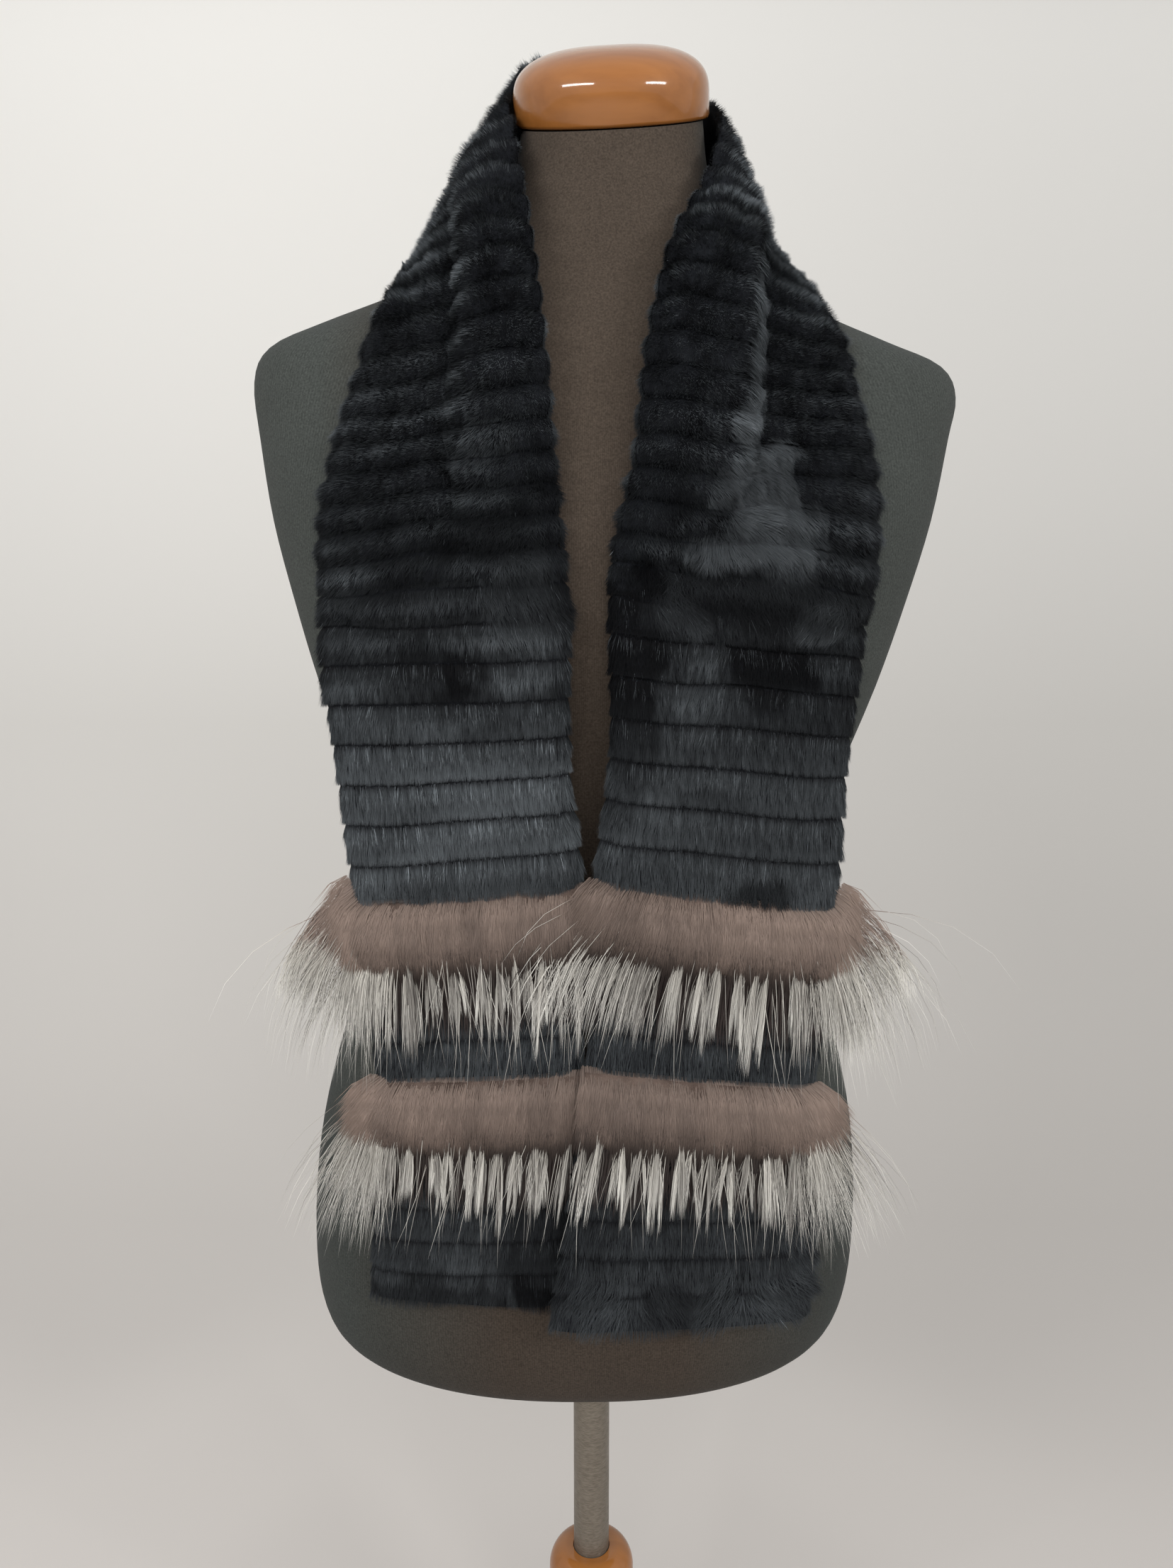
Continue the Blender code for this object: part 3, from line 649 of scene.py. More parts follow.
def ramp(material: bpy.types.Material, stops: list[tuple[float, Colour]]) -> bpy.types.Node:
    """Makes a colour ramp.

    Args:
        material: the material it goes in.
        stops: places from 0 to 1 with their colours.

    Returns:
        The ramp's node.
    """
    node = material.node_tree.nodes.new("ShaderNodeValToRGB")
    elements = node.color_ramp.elements
    while len(elements) < len(stops):
        elements.new(0.5)
    for element, (place, colour) in zip(elements, stops, strict=True):
        element.position = place
        element.color = (*colour, 1.0)
    return node


def bump(material: bpy.types.Material, strength: float, distance: float) -> Socket:
    """Makes a bump that feeds the material's shader.

    Args:
        material: the material it goes in.
        strength: the bump's strength.
        distance: its full height, in metres.

    Returns:
        The bump's Height input, to be linked.
    """
    nodes, links = material.node_tree.nodes, material.node_tree.links
    node = nodes.new("ShaderNodeBump")
    node.inputs["Strength"].default_value = strength
    node.inputs["Distance"].default_value = distance
    links.new(node.outputs["Normal"], nodes["Principled BSDF"].inputs["Normal"])
    return node.inputs["Height"]


def reckoned(material: bpy.types.Material, operation: str, *terms: Socket | float) -> Socket:
    """Works a value out with a math node.

    Args:
        material: the material it goes in.
        operation: what the node does.
        terms: its inputs in order, each another node's output or a number.

    Returns:
        The output with the result.
    """
    node = material.node_tree.nodes.new("ShaderNodeMath")
    node.operation = operation
    for socket, term in zip(node.inputs, terms, strict=False):
        if isinstance(term, Socket):
            material.node_tree.links.new(term, socket)
        else:
            socket.default_value = term
    return node.outputs["Value"]


def ranged(
    material: bpy.types.Material,
    value: Socket,
    given: tuple[float, float],
    wanted: tuple[float, float] = (0.0, 1.0),
    soft: bool = False,
) -> Socket:
    """Carries a value from one range of numbers over to another.

    Args:
        material: the material it goes in.
        value: the output that gives the value.
        given: the range it is read in.
        wanted: what the two ends of that range become.
        soft: whether it eases in and out of the two ends.

    Returns:
        The output with the result, held between the two wanted ends.
    """
    node = material.node_tree.nodes.new("ShaderNodeMapRange")
    node.interpolation_type = "SMOOTHSTEP" if soft else "LINEAR"
    for kind, ends in (("From", given), ("To", wanted)):
        for end, number in zip(("Min", "Max"), ends, strict=True):
            node.inputs[f"{kind} {end}"].default_value = number
    material.node_tree.links.new(value, node.inputs["Value"])
    return node.outputs["Result"]


def tinted(material: bpy.types.Material, colour: Socket, tone: Socket) -> Socket:
    """Makes a colour lighter or darker.

    Args:
        material: the material it goes in.
        colour: the output that gives the colour.
        tone: the output that gives what it is multiplied by.

    Returns:
        The output with the result.
    """
    node = material.node_tree.nodes.new("ShaderNodeVectorMath")
    node.operation = "SCALE"
    material.node_tree.links.new(colour, node.inputs[0])
    material.node_tree.links.new(tone, node.inputs["Scale"])
    return node.outputs["Vector"]


# -------------------- finishes
class HairStop(NamedTuple):
    """A hair's colours at one place from root to tip."""

    place: float
    dark: Colour
    light: Colour


@dataclass(frozen=True)
class HairFinish:
    """The colour of hair, from its tone and the place along it."""

    name: str
    stops: tuple[HairStop, ...]
    roughness: float
    specular: float

    def material(self) -> bpy.types.Material:
        """Makes the material once.

        Returns:
            The material, found again if it is made.
        """
        found = bpy.data.materials.get(self.name)
        if found:
            return found
        made, shader = new_material(self.name, self.roughness)
        shader.inputs["Specular IOR Level"].default_value = self.specular
        nodes, links = made.node_tree.nodes, made.node_tree.links
        chart = nodes.new("ShaderNodeUVMap")
        chart.uv_map = HAIR_MAP
        split = nodes.new("ShaderNodeSeparateXYZ")
        links.new(chart.outputs["UV"], split.inputs["Vector"])
        dark = ramp(made, [(stop.place, stop.dark) for stop in self.stops])
        light = ramp(made, [(stop.place, stop.light) for stop in self.stops])
        tone = reckoned(made, "MULTIPLY", split.outputs["X"], split.outputs["X"])
        blend = nodes.new("ShaderNodeMix")
        blend.data_type = "RGBA"
        links.new(split.outputs["Y"], dark.inputs["Fac"])
        links.new(split.outputs["Y"], light.inputs["Fac"])
        links.new(tone, blend.inputs["Factor"])
        links.new(dark.outputs["Color"], blend.inputs["A"])
        links.new(light.outputs["Color"], blend.inputs["B"])
        links.new(blend.outputs["Result"], shader.inputs["Base Color"])
        return made


@dataclass(frozen=True)
class PileFinish:
    """The dense body of a fur under its outer hair."""

    name: str
    shade: Colour
    light: Colour

    def material(self) -> bpy.types.Material:
        """Makes the material once.

        Returns:
            The material, found again if it is made.
        """
        found = bpy.data.materials.get(self.name)
        if found:
            return found
        made, shader = new_material(self.name, 0.75)
        shader.inputs["Specular IOR Level"].default_value = 0.05
        links = made.node_tree.links
        streaks = placed(made, grain_group(), Along_X=2600.0, Along_Y=2600.0, Along_Z=260.0)
        clouds = placed(made, mottle_group(), Scale=60.0, Low=0.0, High=0.6)
        height, mask = streaks.outputs["Height"], clouds.outputs["Mask"]
        colours = ramp(made, [(0.35, self.shade), (1.0, self.light)])
        links.new(reckoned(made, "MULTIPLY_ADD", height, 0.8, mask), colours.inputs["Fac"])
        links.new(colours.outputs["Color"], shader.inputs["Base Color"])
        links.new(height, bump(made, 0.5, 0.0006))
        return made


@dataclass(frozen=True)
class JerseyFinish:
    """The matt knitted cover of the form: fine upright columns and soft fibres."""

    name: str = "jersey_cover"
    middle: Colour = (0.0480, 0.0370, 0.0285)
    # painted tint of light: the greener colour of the sides and the back stands for the light
    # falling there
    flanks: Colour = (0.0425, 0.0465, 0.0425)
    column_pitch: float = 0.0013
    radius: float = 0.13

    def columns(self, made: bpy.types.Material, split: bpy.types.Node) -> Socket:
        """The knitted columns, which run up the form.

        Args:
            made: the cover's material.
            split: the node that gives the object coordinates apart.

        Returns:
            The output with the columns, from 0 to 1.
        """
        nodes, links = made.node_tree.nodes, made.node_tree.links
        wave, round_it = nodes.new("ShaderNodeTexWave"), nodes.new("ShaderNodeCombineXYZ")
        wave.bands_direction = "X"
        wave.inputs["Scale"].default_value = 1.0 / (self.column_pitch * 3.2)
        wave.inputs["Distortion"].default_value = 1.6
        wave.inputs["Detail"].default_value = 3.0
        wave.inputs["Detail Scale"].default_value = 3.0
        turn = reckoned(made, "ARCTAN2", split.outputs["X"], split.outputs["Y"])
        links.new(reckoned(made, "MULTIPLY", turn, self.radius), round_it.inputs["X"])
        links.new(split.outputs["Z"], round_it.inputs["Z"])
        links.new(round_it.outputs["Vector"], wave.inputs["Vector"])
        return wave.outputs["Fac"]

    def colour(self, made: bpy.types.Material, split: bpy.types.Node) -> Socket:
        """The cover's colour, with a painted tint of light: greener round the sides and the back.

        Args:
            made: the cover's material.
            split: the node that gives the object coordinates apart.

        Returns:
            The output with the colour.
        """
        width = reckoned(made, "ABSOLUTE", split.outputs["X"])
        behind = reckoned(made, "MULTIPLY_ADD", split.outputs["Y"], 2.0, 0.05)
        behind.node.use_clamp = True
        base = made.node_tree.nodes.new("ShaderNodeMix")
        base.data_type = "RGBA"
        base.inputs["A"].default_value = (*self.middle, 1.0)
        base.inputs["B"].default_value = (*self.flanks, 1.0)
        sides = ranged(made, reckoned(made, "ADD", width, behind), (0.05, 0.15))
        made.node_tree.links.new(sides, base.inputs["Factor"])
        return base.outputs["Result"]

    def material(self) -> bpy.types.Material:
        """Makes the cover's material.

        Returns:
            The material, with painted shade: darker towards the hips.
        """
        made, shader = new_material(self.name, 0.95)
        shader.inputs["Specular IOR Level"].default_value = 0.06
        shader.inputs["Sheen Weight"].default_value = 0.03
        shader.inputs["Sheen Roughness"].default_value = 0.5
        nodes, links = made.node_tree.nodes, made.node_tree.links
        fibres = placed(made, mottle_group(), Scale=900.0, Detail=3.0, Low=0.72, High=1.22)
        clouds = placed(made, mottle_group(), Scale=9.0, Detail=3.0, Low=0.90, High=1.10)
        split = nodes.new("ShaderNodeSeparateXYZ")
        links.new(nodes["Texture Coordinate"].outputs["Object"], split.inputs["Vector"])
        ribs = ranged(made, self.columns(made, split), (0.0, 1.0), (0.90, 1.06))
        uneven = reckoned(made, "MULTIPLY", fibres.outputs["Mask"], clouds.outputs["Mask"])
        knit = reckoned(made, "MULTIPLY", uneven, ribs)
        # painted shade: the cover darkens towards the hips, where the light falls off
        painted_shade_below = ranged(made, split.outputs["Z"], (0.40, 0.75), (0.72, 1.0), soft=True)
        tone = reckoned(made, "MULTIPLY", knit, painted_shade_below)
        links.new(tinted(made, self.colour(made, split), tone), shader.inputs["Base Color"])
        links.new(knit, bump(made, 0.35, 0.0004))
        return made


@dataclass(frozen=True)
class WoodFinish:
    """Turned wood under a glossy caramel varnish."""

    name: str = "varnished_wood"
    dark: Colour = (0.200, 0.071, 0.014)
    light: Colour = (0.250, 0.094, 0.021)

    def material(self) -> bpy.types.Material:
        """Makes the wood's material.

        Returns:
            The material, its grain running along X.
        """
        made, shader = new_material(self.name, 0.5)
        shader.inputs["Specular IOR Level"].default_value = 0.15
        shader.inputs["Coat Weight"].default_value = 0.9
        shader.inputs["Coat Roughness"].default_value = 0.09
        links = made.node_tree.links
        grain = placed(made, grain_group(), Along_X=14.0, Along_Y=120.0, Along_Z=120.0)
        colours = ramp(made, [(0.30, self.dark), (0.70, self.light)])
        links.new(grain.outputs["Height"], colours.inputs["Fac"])
        links.new(colours.outputs["Color"], shader.inputs["Base Color"])
        links.new(grain.outputs["Height"], bump(made, 0.04, 0.0003))
        return made


@dataclass(frozen=True)
class MetalFinish:
    """The pole's satin grey metal, brushed round and a little scuffed."""

    name: str = "satin_metal"
    dark: Colour = (0.135, 0.117, 0.093)
    light: Colour = (0.220, 0.194, 0.160)

    def material(self) -> bpy.types.Material:
        """Makes the pole's material.

        Returns:
            The material, its fine lines running round the pole.
        """
        made, shader = new_material(self.name, 0.42)
        shader.inputs["Metallic"].default_value = 0.7
        links = made.node_tree.links
        lines = placed(made, grain_group(), Along_X=300.0, Along_Y=300.0, Along_Z=2400.0)
        scuffs = placed(made, mottle_group(), Scale=45.0, Low=0.36, High=0.55)
        colours = ramp(made, [(0.35, self.dark), (0.65, self.light)])
        links.new(lines.outputs["Height"], colours.inputs["Fac"])
        links.new(colours.outputs["Color"], shader.inputs["Base Color"])
        links.new(scuffs.outputs["Mask"], shader.inputs["Roughness"])
        links.new(lines.outputs["Height"], bump(made, 0.06, 0.0002))
        return made


@dataclass(frozen=True)
class BackdropFinish:
    """The plain pale floor and its sweep, with painted shade: a little darker below and to the
    right.
    """

    name: str = "pale_sweep"
    # painted shade: the floor and the bend darker than the wall, and right_shade darker to the
    # right, for light that falls off lower down and to the right
    floor: Colour = (0.520, 0.490, 0.460)
    bend: Colour = (0.570, 0.550, 0.515)
    wall: Colour = (0.830, 0.815, 0.775)
    right_shade: float = 0.82
    run: float = 5.4  # how far up the sweep the colours reach, along its floor and wall
    half_width: float = 1.4  # how far to the sides the shade changes

    def material(self) -> bpy.types.Material:
        """Makes the floor's material.

        Returns:
            The material, its colours set by the place on the sweep: painted shade, darker below
            and to the right.
        """
        made, shader = new_material(self.name, 0.9)
        shader.inputs["Specular IOR Level"].default_value = 0.1
        nodes, links = made.node_tree.nodes, made.node_tree.links
        coordinates, split = nodes.new("ShaderNodeTexCoord"), nodes.new("ShaderNodeSeparateXYZ")
        links.new(coordinates.outputs["Object"], split.inputs["Vector"])
        # painted shade: darker down towards the floor and towards the right
        climb = reckoned(made, "ADD", split.outputs["Y"], split.outputs["Z"])
        colours = ramp(made, [(0.05, self.floor), (0.50, self.bend), (0.95, self.wall)])
        links.new(ranged(made, climb, (0.0, self.run)), colours.inputs["Fac"])
        reach = (-self.half_width, self.half_width)
        side = ranged(made, split.outputs["X"], reach, (1.0, self.right_shade), soft=True)
        tint = tinted(made, colours.outputs["Color"], side)
        links.new(tint, shader.inputs["Base Color"])
        return made


# The light colours give the painted blue-grey sheen of the lower fur and the painted highlights on
# the rolls, as well as the fur's pale streaks.
SHEARED_HAIR = HairFinish(
    "sheared_hair",
    (
        HairStop(0.0, (0.0020, 0.0020, 0.0024), (0.100, 0.110, 0.120)),
        HairStop(0.5, (0.0030, 0.0032, 0.0036), (0.300, 0.336, 0.360)),
        HairStop(1.0, (0.0040, 0.0042, 0.0048), (0.400, 0.440, 0.470)),
    ),
    roughness=0.70,
    specular=0.06,
)
SHEARED_PILE = PileFinish("sheared_pile", (0.0015, 0.0016, 0.0020), (0.009, 0.010, 0.012))
FOX_UNDER_HAIR = HairFinish(
    "fox_underfur_hair",
    (
        HairStop(0.0, (0.030, 0.022, 0.019), (0.134, 0.102, 0.085)),
        HairStop(0.6, (0.034, 0.025, 0.021), (0.178, 0.131, 0.107)),
        HairStop(1.0, (0.022, 0.016, 0.014), (0.163, 0.121, 0.099)),
    ),
    roughness=0.60,
    specular=0.20,
)
FOX_GUARD_HAIR = HairFinish(
    "fox_guard_hair",
    (
        HairStop(0.0, (0.040, 0.028, 0.023), (0.190, 0.142, 0.118)),
        HairStop(0.36, (0.012, 0.008, 0.007), (0.190, 0.142, 0.118)),
        HairStop(0.45, (0.014, 0.009, 0.008), (0.420, 0.397, 0.352)),
        HairStop(1.0, (0.020, 0.013, 0.012), (0.610, 0.596, 0.552)),
    ),
    roughness=0.50,
    specular=0.25,
)
FOX_PILE = PileFinish("fox_pile", (0.040, 0.028, 0.023), (0.110, 0.080, 0.066))


# -------------------- sheared fur
class Patch(NamedTuple):
    """A soft-edged place in the sheared fur: its hair brushed and ruffled to some degree, and its
    tone changed, in part by painted light and shade.
    """

    side: Side
    strip: float  # its middle, in strips from the back of the neck
    share: float
    strips: float  # its half length, in strips
    width: float  # its half width, as a share of the scarf's
    tone: float  # lighter or darker than the fur round it; in part painted light and shade, as on the lit inner fold of the left fall
    lean: float = 0.0  # how far its hair lies towards the outer edge, in degrees
    sleek: float = 0.0  # how far its hair is brushed flat over the seams, up to 1
    ruffle: float = 0.0  # how far its hair is out of order, up to 1


PATCHES = (
    Patch(Side.LEFT, 12.6, 0.13, 3.6, 0.11, 0.008),
    Patch(Side.LEFT, 11.4, 0.72, 1.6, 0.16, 0.045),
    Patch(Side.LEFT, 17.6, 0.08, 1.2, 0.14, -0.050),
    Patch(Side.RIGHT, 11.4, 0.44, 3.4, 0.05, 0.008, 20.0, 0.5),
    Patch(Side.RIGHT, 17.3, 0.14, 1.3, 0.10, -0.060),
    Patch(Side.RIGHT, 11.3, 0.28, 1.3, 0.08, 0.050),
    Patch(Side.LEFT, 18.9, 0.22, 1.2, 0.22, -0.030, 0.0, 0.0, 0.9),
    Patch(Side.LEFT, 19.8, 0.62, 0.9, 0.24, -0.035),
    Patch(Side.LEFT, 23.5, 0.36, 1.3, 0.13, -0.040),
    Patch(Side.LEFT, 17.0, 0.30, 0.6, 0.18, 0.014, 6.0, 0.2),
    Patch(Side.LEFT, 20.9, 0.14, 1.2, 0.16, 0.026, -22.0, 0.4, 0.2),
    Patch(Side.LEFT, 21.8, 0.86, 2.4, 0.20, 0.034, 12.0),
    Patch(Side.LEFT, 22.4, 0.16, 1.2, 0.20, 0.040),
    Patch(Side.LEFT, 23.0, 0.52, 1.2, 0.24, -0.030),
    Patch(Side.RIGHT, 16.3, 0.42, 1.1, 0.07, 0.018, 40.0, 0.6),
    Patch(Side.RIGHT, 17.7, 0.48, 1.2, 0.18, 0.044, 42.0, 0.8),
    Patch(Side.RIGHT, 18.9, 0.52, 0.9, 0.22, 0.036, 34.0, 0.6),
    Patch(Side.RIGHT, 19.5, 0.30, 0.5, 0.09, 0.034, -24.0, 0.5),
    Patch(Side.RIGHT, 19.6, 0.56, 0.5, 0.14, 0.030, 16.0, 0.5, 0.2),
    Patch(Side.RIGHT, 14.6, 0.45, 2.0, 0.06, 0.010, 34.0, 0.5),
    Patch(Side.RIGHT, 20.5, 0.52, 0.8, 0.40, -0.018, 0.0, 0.0, 0.9),
    Patch(Side.RIGHT, 21.0, 0.80, 0.6, 0.13, 0.060, -36.0, 0.7),
    Patch(Side.RIGHT, 21.2, 0.22, 0.6, 0.12, 0.045, 24.0, 0.4, 0.4),
    Patch(Side.RIGHT, 21.9, 0.62, 0.9, 0.26, -0.012, 0.0, 0.0, 0.3),
    Patch(Side.RIGHT, 23.2, 0.34, 1.6, 0.10, 0.050, -14.0, 0.2),
    Patch(Side.RIGHT, 23.4, 0.06, 3.6, 0.12, -0.062),
    Patch(Side.RIGHT, 22.6, 0.62, 0.9, 0.20, -0.050),
    Patch(Side.RIGHT, 26.2, 0.45, 0.45, 0.20, -0.050),
    Patch(Side.RIGHT, 28.8, 0.68, 0.7, 0.13, -0.090, 0.0, 0.0, 0.5),
    Patch(Side.LEFT, 28.9, 0.40, 0.45, 0.50, -0.050, 0.0, 0.0, 0.2),
    Patch(Side.LEFT, 40.3, 0.52, 0.8, 0.16, 0.060),
    Patch(Side.LEFT, 41.4, 0.55, 0.5, 0.60, -0.050),
    Patch(Side.LEFT, 39.5, 0.12, 3.0, 0.20, -0.050, -8.0),
    Patch(Side.RIGHT, 41.2, 0.84, 0.9, 0.12, 0.030, 34.0, 0.0, 0.6),
    Patch(Side.RIGHT, 41.4, 0.62, 0.9, 0.09, 0.030, -34.0, 0.0, 0.7),
    Patch(Side.RIGHT, 41.4, 0.40, 0.9, 0.10, -0.030, 26.0, 0.0, 0.5),
    Patch(Side.RIGHT, 41.2, 0.15, 0.9, 0.12, 0.020, -24.0, 0.0, 0.6),
    Patch(Side.RIGHT, 39.6, 0.95, 2.4, 0.07, 0.020, 24.0, 0.0, 0.6),
)


def patchwork(distance: Array, share: Array, strip: float) -> dict[str, Array]:
    """What the patches add at places on the scarf.

    Args:
        distance: signed distances from the back of the neck.
        share: places across the width.
        strip: the width of one strip, in metres.

    Returns:
        The added tone, lean, sleekness and ruffle.
    """
    added = {name: np.zeros(np.shape(distance)) for name in ("tone", "lean", "sleek", "ruffle")}
    frayed = 0.22 * Waves(61, 7, 0.012, 0.10).at(distance, share)
    for patch in PATCHES:
        down = (np.asarray(distance) * patch.side.value / strip - patch.strip) / patch.strips
        over = (share - patch.share) / patch.width
        weight = smooth((1.25 - np.hypot(down, over) + frayed) / 0.6)
        for name, total in added.items():
            total += weight * getattr(patch, name)
    return added


@dataclass
class ShearedStretch:
    """A stretch of narrow sheared strips: a ribbed body of pile and its outer hair.

    Near the neck each strip is a plump roll. Lower down it lies flat, like a shingle over
    the next one.
    """

    name: str
    edges: list[float]
    hairs: int
    seed: int
    strip: float
    rise: float = 0.0054  # from a strip's seams up to its middle
    root: float = 0.0056  # the fur's thickness at the seams
    flare: float = 0.0044  # how far the fur's sides stand out past the skin
    roll_end: float = 18.2  # where rolls begin to flatten, in strips from the neck's back
    shingle_start: float = 23.4  # where they lie flat
    light_start: float = 22.2  # where the painted blue-grey sheen begins on the black fur
    light_end: float = 26.0  # where the painted sheen is full
    hang: float = 0.0  # how far the last strip's hair hangs over its edge
    shade: float = 1.0  # the painted blue-grey sheen's strength, beside the left fall's
    columns: int = 44
    back_columns: int = 10
    row_places: tuple[float, ...] = (0.0, 0.05, 0.14, 0.28, 0.45, 0.62, 0.78, 0.89, 0.96)

    def rolled(self, distance: Array) -> Array:
        """1 where the strips are plump rolls and 0 where they lie as shingles."""
        reach = self.shingle_start - self.roll_end
        return 1.0 - smooth((np.abs(distance) / self.strip - self.roll_end) / reach)

    def profile(self, place: Array, rolled: Array) -> Array:
        """A strip's height from its near to its far edge.

        Args:
            place: places within the strip, from 0 to 1.
            rolled: 1 for a plump roll and 0 for a shingle.

        Returns:
            Heights, as shares of the strip's rise.
        """
        held = np.clip(place, 0.0, 1.0)
        roll = np.maximum(1.0 - np.abs(2 * held**0.85 - 1) ** 2.2, 0.0) ** 0.6
        shingle = 0.38 + 0.38 * smooth(held / 0.08) + 0.24 * held
        shingle *= 1.0 - 0.30 * smooth((held - 0.95) / 0.05)
        return lerp(shingle, roll, rolled)

    def edge(self, share: Array) -> Array:
        """How much of the full thickness is left near the scarf's two edges."""
        inside = np.minimum(np.clip(share, 0, 1), 1.0 - np.clip(share, 0, 1))
        return 0.40 + 0.60 * np.minimum(inside / 0.07, 1.0) ** 0.55

    def wander(self, distance: Array, share: Array) -> Array:
        """How far a seam strays along the scarf.

        Args:
            distance: signed distances from the back of the neck.
            share: places across the width.

        Returns:
            The shifts in metres, none beside the fox and little at the neck.
        """
        free = smooth(np.abs(distance) / 0.05) * (0.30 + 0.70 * self.rolled(distance))
        near_fox = np.min([np.abs(distance - end) for end in self.fixed()], axis=0)
        held = smooth(near_fox / 0.03)
        return 0.0019 * free * held * Waves(7, 6, 0.035, 0.22).at(distance, share)

    def fixed(self) -> list[float]:
        """The seams that can't stray, where another kind of piece is sewn on."""
        return [self.edges[0], self.edges[-1]]

    def ordered(self) -> list[tuple[float, float]]:
        """The strips, in rising order of distance.

        Returns:
            Each strip's near and far edge, as seen from the back of the neck.
        """
        rising = sorted(self.edges)
        pairs = zip(rising, rising[1:], strict=False)
        return [(low, high) if low >= 0 else (high, low) for low, high in pairs]

    def thickness(self, distance: Array, share: Array, place: Array) -> Array:
        """The fur's thickness off its back.

        Args:
            distance: signed distances from the back of the neck.
            share: places across the width.
            place: places within the strips.

        Returns:
            The thickness there, in metres.
        """
        rolled = self.rolled(distance)
        height = self.root + self.rise * self.profile(place, rolled)
        waves = Waves(self.seed + 1, 6, 0.012, 0.10).at(distance, share)
        return height * (1.0 + lerp(0.03, 0.08, rolled) * waves) * self.edge(share)

    def bulge(self, distance: Array, share: Array, place: Array) -> Array:
        """How far the fur's sides stand out past the skin's edges.

        Args:
            distance: signed distances from the back of the neck.
            share: places across the width.
            place: places within the strips.

        Returns:
            The shifts across the scarf in metres, less than nothing at the inner edge.
        """
        rolled = self.rolled(distance)
        sides = np.interp(share, (0, 0.04, 0.96, 1), (-1.0, 0.0, 0.0, 1.0))
        return sides * self.flare * lerp(0.25, 1.0, rolled) * self.profile(place, rolled)

    def shell(self, path: ScarfPath) -> bpy.types.Mesh:
        """The ribbed body of pile.

        Args:
            path: the scarf's back.

        Returns:
            Its mesh, closed along its back.
        """
        even = np.linspace(0, 1, self.columns)
        shares = lerp(even, 0.5 - 0.5 * np.cos(math.pi * even), 0.6)
        rings = []
        for near, far in self.ordered():
            places = np.array(self.row_places)
            if near > far:
                places = np.append(places, 1.0)[::-1]
                places = places[:-1] if near != max(self.edges) else places
            for place in places:
                rings.append(self.ring(path, near, far, float(place), shares))
        if rings and self.edges[-1] >= 0:
            near, far = self.ordered()[-1]
            rings.append(self.ring(path, near, far, 1.0, shares))
        return tube_mesh(self.name, np.array(rings))

    def ring(self, path: ScarfPath, near: float, far: float, place: float, shares: Array) -> Array:
        """One section across the stretch.

        Args:
            path: the scarf's back.
            near: the strip's near edge.
            far: its far edge.
            place: the section's place between them.
            shares: places across the width.

        Returns:
            The section's points, out over the fur and back along the skin.
        """
        level = near + (far - near) * place
        inset = SEAM_GAP / 2 * np.sign(np.mean(self.edges) - level)
        level += inset if min(abs(level - end) for end in self.fixed()) < 1e-6 else 0.0
        levels = np.full(len(shares), level)
        spots = path.at(level + self.wander(levels, shares), shares)
        thick = self.thickness(levels, shares, np.full(len(shares), place))
        thick *= lerp(0.90, 0.76, self.rolled(levels))
        outer = spots.points + spots.facing * thick[:, None]
        bulge = self.bulge(levels, shares, np.full(len(shares), place))
        outer += spots.across * bulge[:, None]
        back_shares = np.linspace(1.0, 0.0, self.back_columns)
        back_levels = np.full(self.back_columns, level)
        back = path.at(level + self.wander(back_levels, back_shares), back_shares)
        return np.concatenate([outer, back.points])

    def strands(self, path: ScarfPath) -> Strands:
        """The outer hair, which lies away from the back of the neck.

        Args:
            path: the scarf's back.

        Returns:
            One straight tapering hair for each root, drawn at random over the strips.
        """
        rng = np.random.default_rng(self.seed)
        count = self.hairs
        near, far = np.array(self.ordered())[rng.integers(len(self.edges) - 1, size=count)].T
        forward = np.sign(far - near)
        share = rng.random(count)
        beside = rng.random(count) < 0.11
        share = np.where(beside, np.where(rng.random(count) < 0.5, 0.0, 1.0), share)
        rolled = self.rolled(near + (far - near) * 0.5)
        even = rng.random(count)
        distance = near + (far - near) * (lerp(-0.03, 1.0, even ** lerp(1.7, 1.0, rolled)))
        patch = patchwork(distance, share, self.strip)
        sleek, ruffle = np.clip(patch["sleek"], 0, 1), np.clip(patch["ruffle"], 0, 1)
        plush = rolled * (1 - sleek)
        long, short = rng.uniform(0.0062, 0.0100, count), rng.uniform(0.0026, 0.0048, count)
        length = lerp(long, short, plush) + 0.003 * ruffle
        lean = np.radians(patch["lean"]) + rng.normal(0, 0.06, count) * (1 + 5 * ruffle + plush)
        lean += lerp(0.10, 0.20, plush) * Waves(self.seed + 6, 8, 0.006, 0.03).at(distance, share)
        sides = np.interp(share, (0.0, 0.06, 0.94, 1.0), (-1.0, 0.0, 0.0, 1.0))
        splay = sides * rng.uniform(0.05, 1.0, count) * lerp(0.34, 1.15, rolled)
        belly = np.sin(math.pi * np.clip((distance - near) / (far - near), 0, 1))
        splay *= lerp(1.0, 0.40 + 0.95 * belly, plush)
        run = length * np.cos(lean) * lerp(1.0, 0.72, plush)
        across = length * np.sin(lean) + length * splay * 0.75
        tip = distance + forward * run
        end = far + forward * self.over(far, share, rng.uniform(0.85, 1.1, count), plush)
        past = forward * (tip - end)
        slip = np.where((past > 0) & (sleek + ruffle < 0.45), past, 0.0)
        distance, tip = distance - forward * slip, tip - forward * slip
        place = np.clip((distance - near) / (far - near), 0.0, 1.0)
        tip_place = np.clip((tip - near) / (far - near), 0.0, lerp(0.94, 0.88, rolled))
        tuft = Waves(self.seed + 7, 8, 0.005, 0.035).at(distance, share)
        proud = lerp(0.0002, 0.0009, plush) * (1 + 0.7 * tuft) + rng.uniform(0, 0.0005, count)
        proud += ruffle * rng.uniform(0, 0.0036, count) + sleek * rolled * 0.0006
        flat = lerp(0.97, 0.86, smooth((place - 0.10) / 0.25))
